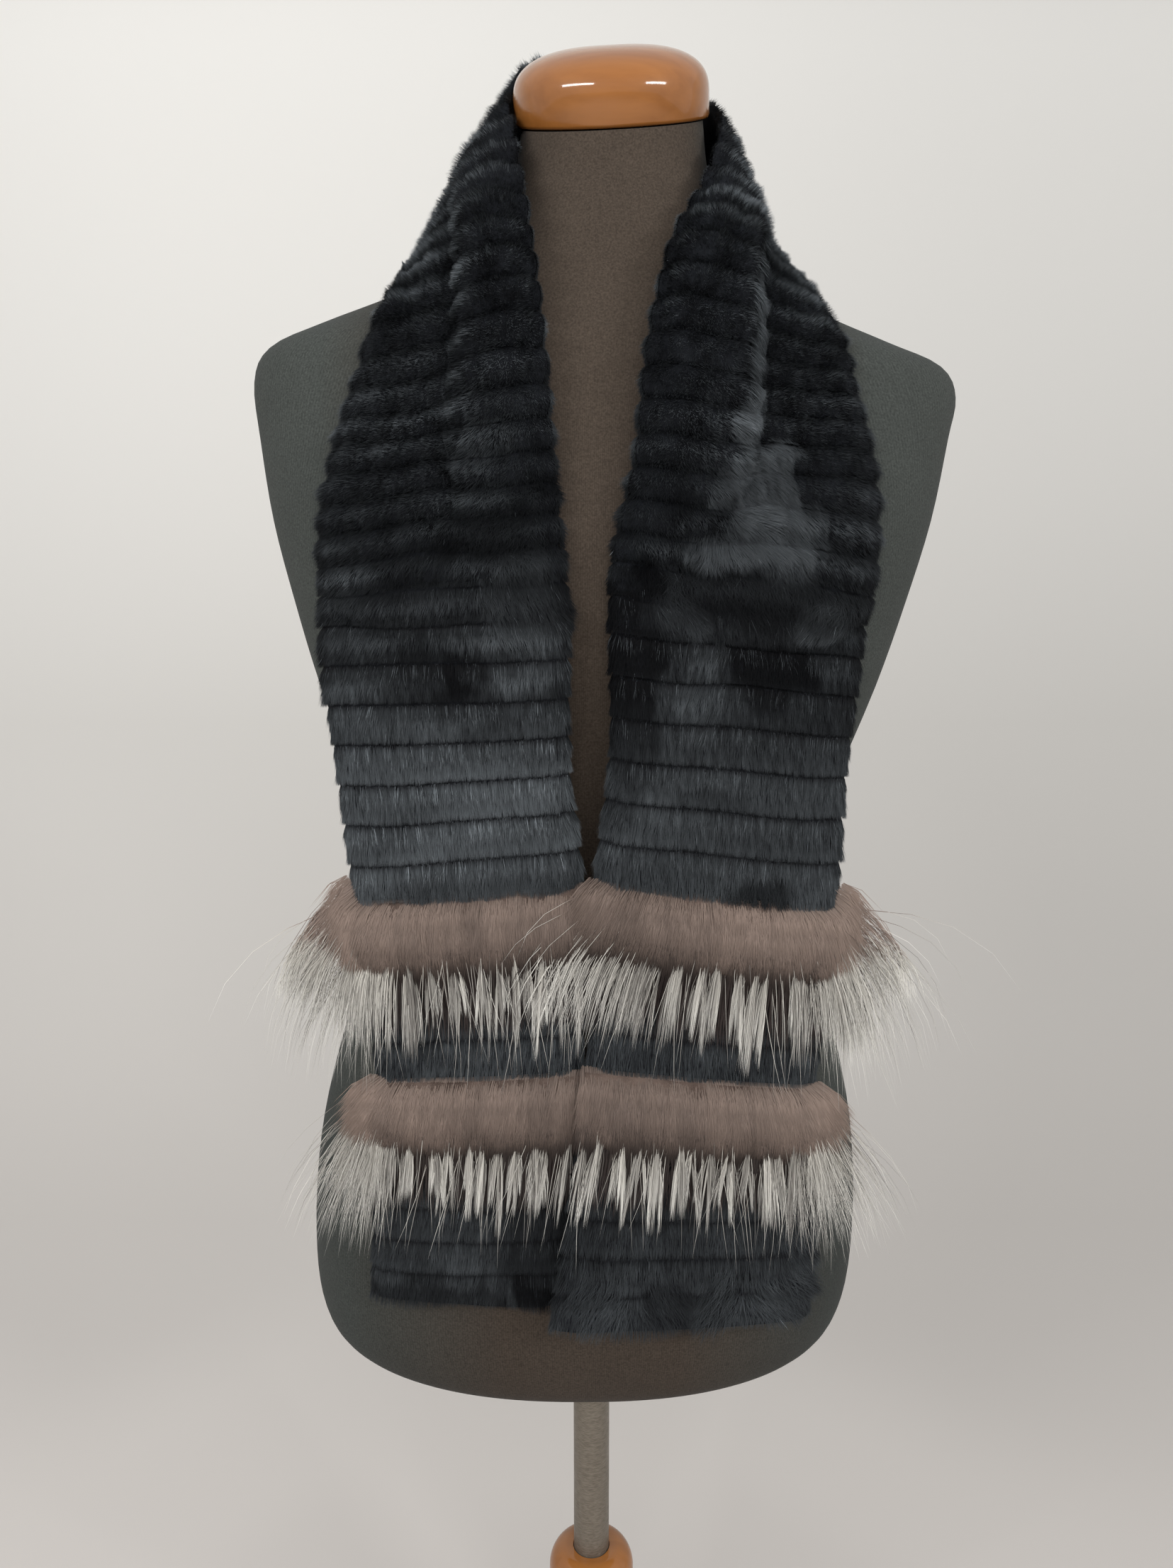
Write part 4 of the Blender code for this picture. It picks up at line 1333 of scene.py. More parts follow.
        inner = np.where(beside, rng.uniform(0.10, 0.85, count), lerp(flat, 0.55, plush))
        first = path.at(distance + self.wander(distance, share), share)
        last = path.at(tip + self.wander(tip, share), share + across / 0.13)
        root_thick = self.thickness(distance, share, place) * inner
        tip_thick = self.thickness(tip, share, tip_place) * np.where(beside, inner + 0.1, 1.0)
        ends = [first.points + first.facing * root_thick[:, None]]
        ends.append(last.points + last.facing * (tip_thick + proud)[:, None])
        ends[0] += first.across * (0.9 * self.bulge(distance, share, place))[:, None]
        ends[1] += last.across * self.bulge(tip, share, tip_place)[:, None]
        facing = unit(first.facing + rng.normal(0, 0.24, (count, 3)))
        half = lerp(0.00016, 0.00015, rolled)[:, None] * rng.uniform(0.7, 1.35, (count, 1))
        tone = self.tones(rng, distance, share, place, patch)
        return Strands(np.stack(ends, axis=1), facing, half, tone)

    def over(self, far: Array, share: Array, uneven: Array, plush: Array) -> Array:
        """How far a strip's hair hangs over its far edge.

        Args:
            far: the far edges of the hairs' strips.
            share: places across the width.
            uneven: each hair's own factor.
            plush: 1 where the fur is a plump roll.

        Returns:
            The overhangs in metres, longest on a stretch's last strip.
        """
        hang = (0.0007 + 0.0014 * plush) * uneven
        hang += 0.0003 * Waves(self.seed + 5, 9, 0.004, 0.02).at(far, share)
        if min(self.edges) < 0 < max(self.edges):
            return hang
        last = np.abs(far - max(self.edges, key=abs)) < 1e-6
        ragged = self.hang * (1.0 + 0.85 * Waves(self.seed + 8, 4, 0.05, 0.28).at(far, share))
        return hang + np.where(last, np.maximum(ragged, 0.0) * uneven, 0.0)

    def tones(
        self,
        rng: np.random.Generator,
        distance: Array,
        share: Array,
        place: Array,
        patch: dict[str, Array],
    ) -> Array:
        """Each hair's tone: deep black rolls above with a painted highlight on each, and below,
        shingles with a painted blue-grey sheen, a painted shadow along each top seam and pale
        streaks.

        Args:
            rng: the stretch's random numbers.
            distance: signed distances from the back of the neck.
            share: places across the width.
            place: places within the strips, from their near to their far edges.
            patch: what the patches add.

        Returns:
            Tones from 0, darkest, to 1, lightest.
        """
        count = len(distance)
        strips = np.abs(distance) / self.strip
        # light: the painted blue-grey sheen, none on the rolls and full on the flat shingles
        light = smooth((strips - self.light_start) / (self.light_end - self.light_start))
        streaks = Waves(self.seed + 3, 9, 0.010, 0.012).at(distance, share)
        clouds = Waves(self.seed + 4, 6, 0.022, 0.20).at(distance, share)
        deep = np.interp(strips, (9.0, 15.5, 20.5), (0.265, 0.185, 0.046))
        tone = lerp(deep, 0.148 * self.shade, light) + patch["tone"] * lerp(1.0, 0.8, light)
        tone *= 1.0 - 0.14 * np.clip(patch["sleek"], 0, 1)
        noise = rng.normal(0, 1, count) * lerp(0.09, 0.17, light)
        tone *= 1.0 + 0.20 * clouds + 0.18 * streaks + noise
        rim = smooth((np.abs(share - 0.5) - 0.43) / 0.06)
        tone *= 1.0 - 0.50 * rim * (1 - light)
        # painted shadow along each shingle's top seam, under the overhang of the strip above
        tone *= lerp(1.0, 0.30 + 0.70 * smooth(place / 0.07), light)
        # lit: a painted highlight on the upper part of each roll; flat: where it fades, on the
        # shingles and the brushed patches
        lit = np.exp(-(((place - 0.34 - 0.08 * streaks) / 0.20) ** 2))
        flat = np.maximum(light, 0.75 * np.clip(patch["sleek"], 0, 1))
        tone *= lerp(0.43 + 1.34 * lit * (0.85 + 0.30 * clouds), 1.0, flat)
        tone *= 1.0 - 0.22 * light * smooth((place - 0.75) / 0.2)
        gathered = smooth(0.5 + 0.6 * Waves(self.seed + 9, 9, 0.03, 0.03).at(distance, share))
        chance = (0.010 + 0.17 * gathered) * smooth((strips - 19.5) / 3.0)
        bright = (rng.random(count) < chance) & (place < 0.26)
        added = rng.uniform(0.06, 0.50, count) * lerp(0.35, self.shade**2, light)
        tone += np.where(bright, added, 0.0)
        stray = rng.random(count) < 0.0010
        tone += np.where(stray, rng.uniform(0.05, 0.4, count), 0.0)
        return np.clip(tone, 0.0, 1.0)

    def build(self, path: ScarfPath) -> list[bpy.types.Object]:
        """Makes the stretch and hides its imported solid.

        Args:
            path: the scarf's back.

        Returns:
            Its body and its hair.
        """
        body = add_piece(f"{self.name}_pile", self.shell(path), SHEARED_PILE.material())
        strands = self.strands(path).mesh(f"{self.name}_hair")
        hair = add_piece(f"{self.name}_hair", strands, SHEARED_HAIR.material())
        for piece in (body, hair):
            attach(piece, "root")
        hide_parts(self.name)
        width = float(np.mean([path.width_at(edge) for edge in self.edges]))
        LOG.info("%s: %d strips, %d hairs", self.name, len(self.edges) - 1, self.hairs)
        return [body, hair]


# -------------------- fox
class LockHairs(NamedTuple):
    """What each guard hair takes from its lock, and from its strand of that lock."""

    locks: int  # how many locks there are
    lock: Array  # the number of its lock
    strand: Array  # the number of its strand there
    centre: Array  # its lock's place across the width
    reach: Array  # its lock's reach, as a share of the full one
    lean: Array  # its lock's lean outward, in radians
    width: Array  # half its lock's width, in metres
    side: Array  # its strand's place in the lock, from -1 to 1
    strand_reach: Array  # its strand's reach, as a share of the lock's
    tip: Array  # how far off the scarf's back its strand ends, in metres


@dataclass
class FoxBand:
    """A band of long silver fox let into the scarf."""

    name: str
    side: Side
    top: float  # the seam's signed distance from the back of the neck
    outer_fan: float  # how far the hair leans out at the outer end, in degrees
    inner_fan: float  # how far it leans in at the inner end, in degrees
    seed: int
    reach: float = 1.03  # how far across the width the fur reaches, as a share
    drop: float = 0.046  # how far below the seam the underfur ends
    hair_drop: float = 0.091  # how far below it the guard hair ends
    under_hairs: int = 15000
    guard_hairs: int = 1560
    dark_hairs: int = 1150  # the ones behind the locks
    lock_pitch: float = 0.0086  # from one lock to the next
    wisps: int = 380
    splay: float = 0.0  # how much further the underfur turns out at the outer end
    droop: float = 1.0  # how much of its fan the guard hair keeps
    perk: float = 1.0  # how far above the seam the hair starts at the outer end
    columns: int = 61
    skin_columns: int = 25
    skin_rows: int = 9

    def place(self, path: ScarfPath, down: Array, share: Array, off: Array) -> Array:
        """Points below the band's seam, off the scarf's back."""
        spots = path.at(self.top + self.side.value * down, share)
        return spots.points + spots.facing * off[..., None]

    def fan(self, share: Array) -> Array:
        """How far hair leans outward from straight down, in radians."""
        bends = (-self.inner_fan, 0.0, 0.0, self.outer_fan)
        return np.radians(np.interp(share, (0.0, 0.46, 0.68, 1.05), bends))

    def plump(self, share: Array) -> Array:
        """How much of the full lift the fur has across the width."""
        inside = np.minimum(share + 0.03, self.reach + 0.03 - share)
        return 0.45 + 0.55 * np.clip(inside / 0.14, 0.0, 1.0) ** 0.6

    def crest(self, down: Array, share: Array) -> Array:
        """The height of the dense underfur's surface.

        Args:
            down: distances below the seam, in metres.
            share: places across the width.

        Returns:
            The heights off the scarf's back, in metres.
        """
        downs = (0.000, 0.002, 0.008, 0.018, 0.029, 0.037, 0.041, 0.050)
        heights = (0.0070, 0.0095, 0.0146, 0.0182, 0.0192, 0.0174, 0.0152, 0.0125)
        height = np.interp(down, downs, heights)
        lumps = 1 + 0.035 * Waves(self.seed + 5, 6, 0.02, 0.10).at(down * 0, share)
        least = np.minimum(height, 0.0125)
        return (least + (height - least) * self.plump(share)) * lumps

    def skin(self, path: ScarfPath) -> bpy.types.Mesh:
        """The thin skin that the hair grows from.

        Args:
            path: the scarf's back.

        Returns:
            Its mesh.
        """
        shares = np.linspace(0.0, 1.0, self.skin_columns)
        rings = []
        for down in np.linspace(SEAM_GAP, FOX_PELT - SEAM_GAP, self.skin_rows):
            downs = np.full(self.skin_columns, down)
            outer = self.place(path, downs, shares, np.full(self.skin_columns, 0.0017))
            inner = self.place(path, downs, shares, np.full(self.skin_columns, 0.0002))
            rings.append(np.concatenate([outer, inner[::-1]]))
        rings = np.array(rings)
        return tube_mesh(self.name, rings if self.side is Side.RIGHT else rings[::-1])

    def core(self, path: ScarfPath) -> bpy.types.Mesh:
        """The dense plump body of the underfur.

        Args:
            path: the scarf's back.

        Returns:
            Its mesh, which goes out over the fur and back over the skin.
        """
        shares = np.linspace(-0.030, self.reach - 0.01, self.columns)
        ring = []
        for down in (0.002, 0.005, 0.008, 0.013, 0.018, 0.024, 0.029, 0.034, 0.038, 0.041):
            downs = np.full(self.columns, down)
            ring.append(self.place(path, downs, shares, self.crest(downs, shares)))
        for down, off in ((0.0405, 0.0125), (0.036, 0.0115), (0.0355, 0.0022), (0.001, 0.0022)):
            downs = np.full(self.columns, down)
            ring.append(self.place(path, downs, shares, np.full(self.columns, off)))
        return tube_mesh(f"{self.name}_core", np.stack(ring, axis=1))

    def travelled(
        self,
        path: ScarfPath,
        down: Array,
        share: Array,
        runs: Array,
        angle: Array,
        offs: Array,
        slide: Array,
    ) -> Array:
        """Hairs that leave their roots, lean outward and droop a little.

        Args:
            path: the scarf's back.
            down: how far below the seam each hair is rooted, in metres.
            share: where across the width.
            runs: distances from the root, in metres, indexed [hair][ring].
            angle: how far each leans outward, in radians.
            offs: heights off the back, indexed [hair][ring].
            slide: sideways shift in metres, indexed [hair][ring].

        Returns:
            The rings of points.
        """
        gone = np.clip(runs / runs[:, -1:], 0.0, 1.0)
        lean = angle[:, None] * (1.10 - 0.34 * gone**1.5)
        over = share[:, None] + (runs * np.sin(lean) + slide) / path.width_at(self.top)
        return self.place(path, down[:, None] + runs * np.cos(lean), over, offs)

    def looks(
        self, path: ScarfPath, rng: np.random.Generator, down: Array, share: Array, tilt: float
    ) -> Array:
        """Where the flat faces of hairs rooted here look."""
        facing = path.at(self.top + self.side.value * down, share).facing
        return unit(facing + rng.normal(0, tilt, (len(down), 3)))

    def under(self, path: ScarfPath) -> Strands:
        """The dense soft underfur, which hugs its body.

        Args:
            path: the scarf's back.

        Returns:
            Its hairs, from just above the seam to the underfur's ragged lower edge.
        """
        rng = np.random.default_rng(self.seed)
        count = self.under_hairs
        down = rng.random(count) ** 1.15 * 0.033 - 0.001
        share = rng.uniform(-0.045, self.reach, count)
        down = down - 0.013 * self.perk * smooth((share - 0.97) / 0.05)
        ragged = Waves(self.seed + 4, 9, 0.5, 0.035).at(down * 0, share)
        end = self.drop * (0.97 + 0.07 * ragged) + rng.normal(0, 0.0022, count)
        end = end - 0.0065 * smooth((share - 0.76) / 0.2)
        length = np.minimum(rng.uniform(0.013, 0.024, count), end - down)
        runs = length[:, None] * np.array([0.0, 0.42, 1.0])
        places = down[:, None] + runs
        tuft = Waves(self.seed + 6, 8, 0.012, 0.03).at(down, share)
        lift = np.array([-0.0010, 0.0008, 0.0014])[None, :] + 0.0004 * tuft[:, None]
        lift = lift + rng.uniform(-0.0003, 0.0006, (count, 1)) * np.array([0.0, 0.5, 1.0])
        offs = self.crest(places, np.repeat(share[:, None], 3, axis=1)) + lift
        slide = (rng.normal(0, 0.0008, count) + 0.0010 * tuft)[:, None] * np.array([0.0, 0.4, 1.0])
        angle = self.fan(share) * (1.25 - 18.0 * down) + rng.normal(0, 0.07, count)
        angle += self.splay * smooth((share - 0.84) / 0.15)
        points = self.travelled(path, down, share, runs, angle, offs, slide)
        half = np.array([0.00015, 0.00016])[None, :] * rng.uniform(0.7, 1.25, (count, 1))
        clouds = Waves(self.seed + 2, 7, 0.02, 0.12).at(down, share)
        streaks = Waves(self.seed + 3, 9, 0.05, 0.015).at(down, share)
        tone = 0.515 + 0.10 * clouds + 0.06 * streaks + rng.normal(0, 0.055, count)
        tone += 0.22 * (1 - smooth(down / 0.024)) + lerp(-0.12, 0.10, smooth(share / 0.8))
        tip = down + length
        tone += 0.44 * smooth((share - 0.88) / 0.12) - 0.16 * smooth((tip - 0.030) / 0.012)
        tone -= 0.50 * smooth((tip - 0.037) / 0.010) * smooth((1.0 - share) / 0.12)
        return Strands(points, self.looks(path, rng, down, share, 0.20), half, np.clip(tone, 0, 1))

    def lock_hairs(self, path: ScarfPath, rng: np.random.Generator, count: int) -> LockHairs:
        """Shares guard hairs out among narrow locks, the widest and fullest outermost.

        Args:
            path: the scarf's back.
            rng: the guard hair's random numbers.
            count: how many hairs there are.

        Returns:
            What each hair takes from its lock and from its strand.
        """
        locks = int(path.width_at(self.top) * (self.reach + 0.02) / self.lock_pitch)
        centres = np.linspace(0.005, self.reach - 0.01, locks) + rng.normal(0, 0.013, locks)
        reach, leans = rng.uniform(0.88, 1.06, locks), rng.normal(0, 0.06, locks)
        wide, fill = rng.uniform(0.0030, 0.0058, locks), rng.uniform(0.45, 1.25, locks)
        outermost = smooth((centres - 0.84) / 0.12)
        wide, fill = wide * (1 + 0.5 * outermost), fill * (1 + 1.3 * outermost)
        fill *= 0.40 + 0.60 * smooth(centres / 0.22)
        pick = rng.choice(locks, size=count, p=fill / fill.sum())
        strand = rng.integers(0, LOCK_STRANDS, size=count)
        side = np.sort(rng.uniform(-1, 1, (locks, LOCK_STRANDS)), axis=1)[pick, strand]
        side = 0.45 * side + 0.55 * (strand / (LOCK_STRANDS - 1) * 2 - 1)
        strand_reach = rng.uniform(0.76, 1.02, (locks, LOCK_STRANDS))[pick, strand]
        tip = rng.uniform(0.0126, 0.0158, (locks, LOCK_STRANDS))[pick, strand]
        own = (centres[pick], reach[pick], leans[pick], wide[pick])
        return LockHairs(locks, pick, strand, *own, side, strand_reach, tip)

    def guard(self, path: ScarfPath) -> Strands:
        """The long guard hair: white-tipped in front of darker hair.

        It is hidden by the underfur first, leaves it in narrow locks, and each lock opens
        downward into a few strands that end in points.

        Args:
            path: the scarf's back.

        Returns:
            Its hairs, the darker ones behind last.
        """
        rng = np.random.default_rng(self.seed + 10)
        count = self.guard_hairs + self.dark_hairs
        behind = np.arange(count) >= self.guard_hairs
        own = self.lock_hairs(path, rng, count)
        share = np.where(behind, rng.uniform(0.0, 0.93, count), own.centre)
        down = rng.uniform(0.004, 0.030, count)
        down = down - 0.016 * self.perk * smooth((share - 0.93) / 0.07)
        leave = self.drop - 0.0120 + 0.0120 * np.abs(own.side) ** 1.4
        leave += rng.normal(0, 0.0018, count)
        leave -= np.where(rng.random(count) < 0.10, rng.uniform(0.0, 0.012, count), 0.0)
        leave -= 0.0065 * smooth((share - 0.76) / 0.2)
        down = np.minimum(down, leave - 0.006)
        total = self.hair_drop * own.reach * own.strand_reach
        total = total * (1 - 0.22 * rng.random(count) ** 2)
        total *= 1 - 0.15 * smooth((share - 0.90) / 0.10)
        total = np.where(behind, self.hair_drop * rng.uniform(0.62, 0.90, count), total)
        hidden, free = leave - down, total - leave
        steps = [hidden * 0, hidden * 0.55, hidden, hidden + free * 0.33, hidden + free * 0.68]
        runs = np.stack([*steps, hidden + free], axis=1)
        crest = self.crest(leave, share) - np.where(behind, 0.0022, 0.0003)
        crest += rng.normal(0, 0.0005, count)
        drop_to = np.where(behind, rng.uniform(0.0098, 0.0114, count), own.tip)
        heights = [np.full(count, 0.005), crest * 0.80, crest]
        heights += [lerp(crest, drop_to, 0.38), lerp(crest, drop_to, 0.78), drop_to]
        spread = own.side * own.width
        within = rng.normal(0, 0.00034, count)
        narrow = spread * 0.22 + rng.normal(0, 0.0003, count)
        roots = rng.normal(0, 0.0030, count)
        slides = [roots, roots * 0.5, narrow, spread * 0.62 + within * 1.5, spread * 0.88 + within]
        slide = np.stack([*slides, spread + rng.normal(0, 0.00010, count)], axis=1)
        lean = np.where(behind, 0.0, own.lean)
        angle = self.droop * self.fan(share) * (1.22 - 16.0 * np.maximum(down, 0.0))
        angle += lean + rng.normal(0, 0.007, count)
        points = self.travelled(path, down, share, runs, angle, np.stack(heights, axis=1), slide)
        half = np.array([0.00012, 0.00015, 0.00019, 0.00020, 0.00013])[None, :]
        half = half * rng.uniform(0.75, 1.2, (count, 1)) * np.where(behind, 1.6, 1.0)[:, None]
        shades = rng.normal(0.0, 0.20, (own.locks, LOCK_STRANDS))[own.lock, own.strand]
        tone = rng.normal(0.53, 0.20, count) + shades + 0.32 * smooth((share - 0.84) / 0.1)
        tone = np.clip(tone, 0.10, 1)
        tone = np.where(behind, rng.uniform(0.0, 0.03, count), tone)
        return Strands(points, self.looks(path, rng, down, share, 0.3), half, tone)

    def loose(self, path: ScarfPath) -> Strands:
        """Single long hairs that stray from the locks, most of them at the outer end.

        Args:
            path: the scarf's back.

        Returns:
            The hairs, with as many rings as the guard hair's.
        """
        rng = np.random.default_rng(self.seed + 20)
        count = self.wisps
        down = rng.uniform(0.0, 0.030, count)
        outer = rng.random(count) < 0.78
        share = np.where(outer, rng.uniform(0.86, 1.03, count), rng.uniform(-0.02, 1.0, count))
        length = rng.uniform(0.060, 0.098, count) - down * 0.5
        length *= 1 + 0.10 * smooth((share - 0.90) / 0.10) * self.outer_fan / 46
        runs = length[:, None] * np.array([0.0, 0.16, 0.34, 0.56, 0.78, 1.0])
        top = self.crest(down + length * 0.34, share) + rng.uniform(-0.0006, 0.0012, count)
        tip = rng.uniform(0.012, 0.022, count)
        heights = [top * 0.25, top * 0.75, top, lerp(top, tip, 0.3), lerp(top, tip, 0.68), tip]
        wild = np.where(outer, 0.20, 0.09)
        angle = self.fan(share) * (1.35 - 16.0 * down) * rng.uniform(0.75, 1.25, count)
        angle += rng.normal(0, 1, count) * wild
        bend = rng.normal(0, 0.006, (count, 1)) * np.linspace(0, 1, 6)[None, :] ** 2
        points = self.travelled(path, down, share, runs, angle, np.stack(heights, axis=1), bend)
        half = np.tile([0.00010, 0.00012, 0.00013, 0.00011, 0.00008], (count, 1))
        tone = np.clip(rng.normal(0.65, 0.2, count), 0, 1)
        return Strands(points, self.looks(path, rng, down, share, 0.4), half, tone)

    def build(self, path: ScarfPath) -> list[bpy.types.Object]:
        """Makes the band and hides its imported solid.

        Args:
            path: the scarf's back.

        Returns:
            Its skin, the underfur's body, the underfur and the guard hair.
        """
        skin = add_piece(self.name + "_skin", self.skin(path), FOX_PILE.material())
        core = add_piece(self.name + "_core", self.core(path), FOX_PILE.material())
        under = self.under(path).mesh(self.name + "_underfur")
        under = add_piece(self.name + "_underfur", under, FOX_UNDER_HAIR.material())
        guard = self.guard(path).joined(self.loose(path)).mesh(self.name + "_guard_hair")
        guard = add_piece(self.name + "_guard_hair", guard, FOX_GUARD_HAIR.material())
        for piece in (skin, core, under, guard):
            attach(piece, "root")
        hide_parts(self.name)
        flat = (path.width_at(self.top), FOX_PELT)
        counts = (self.under_hairs, self.guard_hairs + self.dark_hairs)
        LOG.info("%s: %d underfur and %d guard hairs", self.name, *counts)
        return [skin, core, under, guard]


# -------------------- form and stand
class Level(NamedTuple):
    """The torso's outline at one height; tip and slope say how the level is tilted."""

    z: float
    half_width: float
    front: float
    back: float
    tip: float = 0.0
    slope: float = 0.0


TORSO_LEVELS = (
    Level(0.4080, 0.1490, 0.0950, 0.099),
    Level(0.4130, 0.1625, 0.1090, 0.113),
    Level(0.4270, 0.1725, 0.1190, 0.123),
    Level(0.4560, 0.1780, 0.1250, 0.130),
    Level(0.5050, 0.1780, 0.1245, 0.129),
    Level(0.5550, 0.1725, 0.1180, 0.121),
    Level(0.6050, 0.1608, 0.1070, 0.106),
    Level(0.6600, 0.1450, 0.0980, 0.090),
    Level(0.7100, 0.1380, 0.0940, 0.082),
    Level(0.7650, 0.1460, 0.0990, 0.085),
    Level(0.8350, 0.1690, 0.1120, 0.093),
    Level(0.8840, 0.1826, 0.1200, 0.098),
    Level(0.9320, 0.1956, 0.1160, 0.101),
    Level(0.9790, 0.2050, 0.1010, 0.102),
    Level(1.0080, 0.2092, 0.0900, 0.098, 0.0, -0.022),
    Level(1.0255, 0.2010, 0.0835, 0.094, 0.0, -0.028),
    Level(1.0375, 0.1735, 0.0780, 0.091, 0.0, -0.035),
    Level(1.0545, 0.1290, 0.0705, 0.086, 0.0, -0.040),
    Level(1.0730, 0.0940, 0.0635, 0.0815, 0.0, -0.035),
    Level(1.0935, 0.0720, 0.0565, 0.0770, 0.0, -0.010),
    Level(1.1160, 0.0615, 0.0510, 0.0725, 0.2, 0.0),
    Level(1.1390, 0.0560, 0.0470, 0.0680, 0.6, 0.0),
    Level(1.1620, 0.0530, 0.0450, 0.0650, 1.0, 0.0),
)


ARC_STEPS = 28


def arc(
    centre: tuple[float, float],
    radii: tuple[float, float],
    start: float,
    end: float,
    power: float = 2.0,
) -> Profile:
    """An arc of an ellipse, or of a boxier curve.

    Args:
        centre: its middle, as a radius and a height.
        radii: how far it reaches from there, out and up.
        start: where it begins, in degrees up from straight outward.
        end: where it ends.
        power: 2 for an ellipse, and more for a boxier curve.

    Returns:
        Its points.
    """
    points = []
    for angle in np.radians(np.linspace(start, end, ARC_STEPS)):
        x, z = math.cos(angle), math.sin(angle)
        x = math.copysign(abs(x) ** (2 / power), x)
        z = math.copysign(abs(z) ** (2 / power), z)
        points.append((centre[0] + radii[0] * x, centre[1] + radii[1] * z))
    return points


def turned_mesh(name: str, profile: Profile, steps: int = 96) -> bpy.types.Mesh:
    """A solid of revolution.

    Args:
        name: the mesh's name.
        profile: radii and heights that start and end on the axis.
        steps: how many sides it has.

    Returns:
        Its mesh.
    """
    angles = np.linspace(0, 2 * math.pi, steps, endpoint=False)
    rings = []
    for radius, height in profile[1:-1]:
        level = np.full(steps, height)
        rings.append(np.stack([radius * np.cos(angles), radius * np.sin(angles), level], axis=1))
    return tube_mesh(name, np.array(rings)[::-1])


@dataclass
class DressForm:
    """The limbless bust and its stand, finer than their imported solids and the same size."""

    sides: int = 132
    steps: int = 4
    lean: float = 0.024  # how far the bust leans to the right as it rises, as a slope
    lean_level: float = 0.69  # the height where it crosses the pole's axis
    section_power: float = 2.3  # 2 would be an ellipse, and more is boxier
    neck_tilt: float = math.radians(22)  # how far the neck's top faces the front
    neck_roll: float = math.radians(3)  # how far it faces the left
    cap_radius: float = 0.0570
    cap_depth_scale: float = 1.05  # the cap's depth beside its width
    cap_wall: float = 0.012
    cap_height: float = 0.039
    cap_power: float = 2.7  # how boxy the cap's dome is
    foot_radius: float = 0.160
    foot_height: float = 0.024
    hub_radius: float = 0.030
    hub_top: float = 0.215
    pole_radius: float = 0.0125
    socket_depth: float = 0.060
    bore: float = 0.013  # the radius of the pole's sockets

    def torso_rings(self) -> Array:
        """The bust's sections.

        Returns:
            The rings of points, the two of the pole's socket first.
        """
        low = TORSO_LEVELS[0].z
        turn = np.linspace(0, 2 * math.pi, self.sides, endpoint=False)
        across, along = np.cos(turn), np.sin(turn)
        rings = []
        for height in (low + self.socket_depth, low):
            level = np.full(self.sides, height)
            rings.append(np.stack([self.bore * across, self.bore * along, level], axis=1))
        bend = 2 / self.section_power
        across = np.sign(across) * np.abs(across) ** bend
        along = np.sign(along) * np.abs(along) ** bend
        places = np.linspace(0, len(TORSO_LEVELS) - 1, self.steps * (len(TORSO_LEVELS) - 1) + 1)
        for z, half_width, front, back, tip, slope in spline(TORSO_LEVELS, places):
            x, y = across * half_width, along * (front + back) / 2
            rise_x = math.tan(self.neck_roll * tip) + slope
            middle = self.lean * (z - self.lean_level)
            heights = z + math.tan(self.neck_tilt * tip) * y + rise_x * x
            rings.append(np.stack([middle + x, (back - front) / 2 + y, heights], axis=1))
        return np.array(rings)

    def cap_mesh(self) -> bpy.types.Mesh:
        """The neck cap, tipped on the neck.

        Returns:
            Its mesh, in place.
        """
        radius = self.cap_radius
        radii = (radius, self.cap_height - self.cap_wall)
        dome = arc((0.0, self.cap_wall), radii, 84, 0, self.cap_power)
        profile = [(0.0, self.cap_height), *dome, (radius, 0.0022)]
        profile += [(radius - 0.0006, 0.0006), (radius - 0.0022, 0.0), (0.0, 0.0)]
        mesh = turned_mesh("neck_cap", profile)
        top = TORSO_LEVELS[-1]
        x = self.lean * (top.z - self.lean_level)
        place = Vector((x, (top.back - top.front) / 2, top.z + 2 * SEAM_GAP))
        tip = Euler((self.neck_tilt, -self.neck_roll, 0.0)).to_matrix().to_4x4()
        grow = Matrix.Diagonal((1.0, self.cap_depth_scale, 1.0, 1.0))
        mesh.transform(Matrix.Translation(place) @ tip @ grow)
        return mesh

    def stand_meshes(self) -> dict[str, bpy.types.Mesh]:
        """The foot, the hub that grips the pole and the pole.

        Returns:
            Their meshes by the names of their nodes.
        """
        top, base = self.foot_height, self.foot_height + SEAM_GAP
        foot = [(0.0, top), (0.060, top), (0.125, top - 0.004)]
        foot += arc((self.foot_radius - 0.009, 0.009), (0.009, 0.009), 70, 0)
        foot += [(self.foot_radius, 0.002), (self.foot_radius - 0.002, 0.0), (0.0, 0.0)]
        floor = self.hub_top - self.socket_depth
        hub = [(0.0, floor), (self.bore, floor), (self.bore, self.hub_top)]
        hub += arc((self.hub_radius - 0.013, self.hub_top - 0.016), (0.013, 0.016), 90, 0)
        hub += [(self.hub_radius + 0.003, base + 0.050)]
        hub += arc((0.058, base + 0.042), (0.025, 0.034), 170, 255)
        hub += [(0.054, base + 0.004), (0.052, base), (0.0, base)]
        low = floor + SEAM_GAP
        high = TORSO_LEVELS[0].z + self.socket_depth - SEAM_GAP
        pole = [(0.0, high), (self.pole_radius, high), (self.pole_radius, low), (0.0, low)]
        profiles = {"stand_foot": foot, "stand_hub": hub, "stand_pole": pole}
        return {name: turned_mesh(name, profile) for name, profile in profiles.items()}

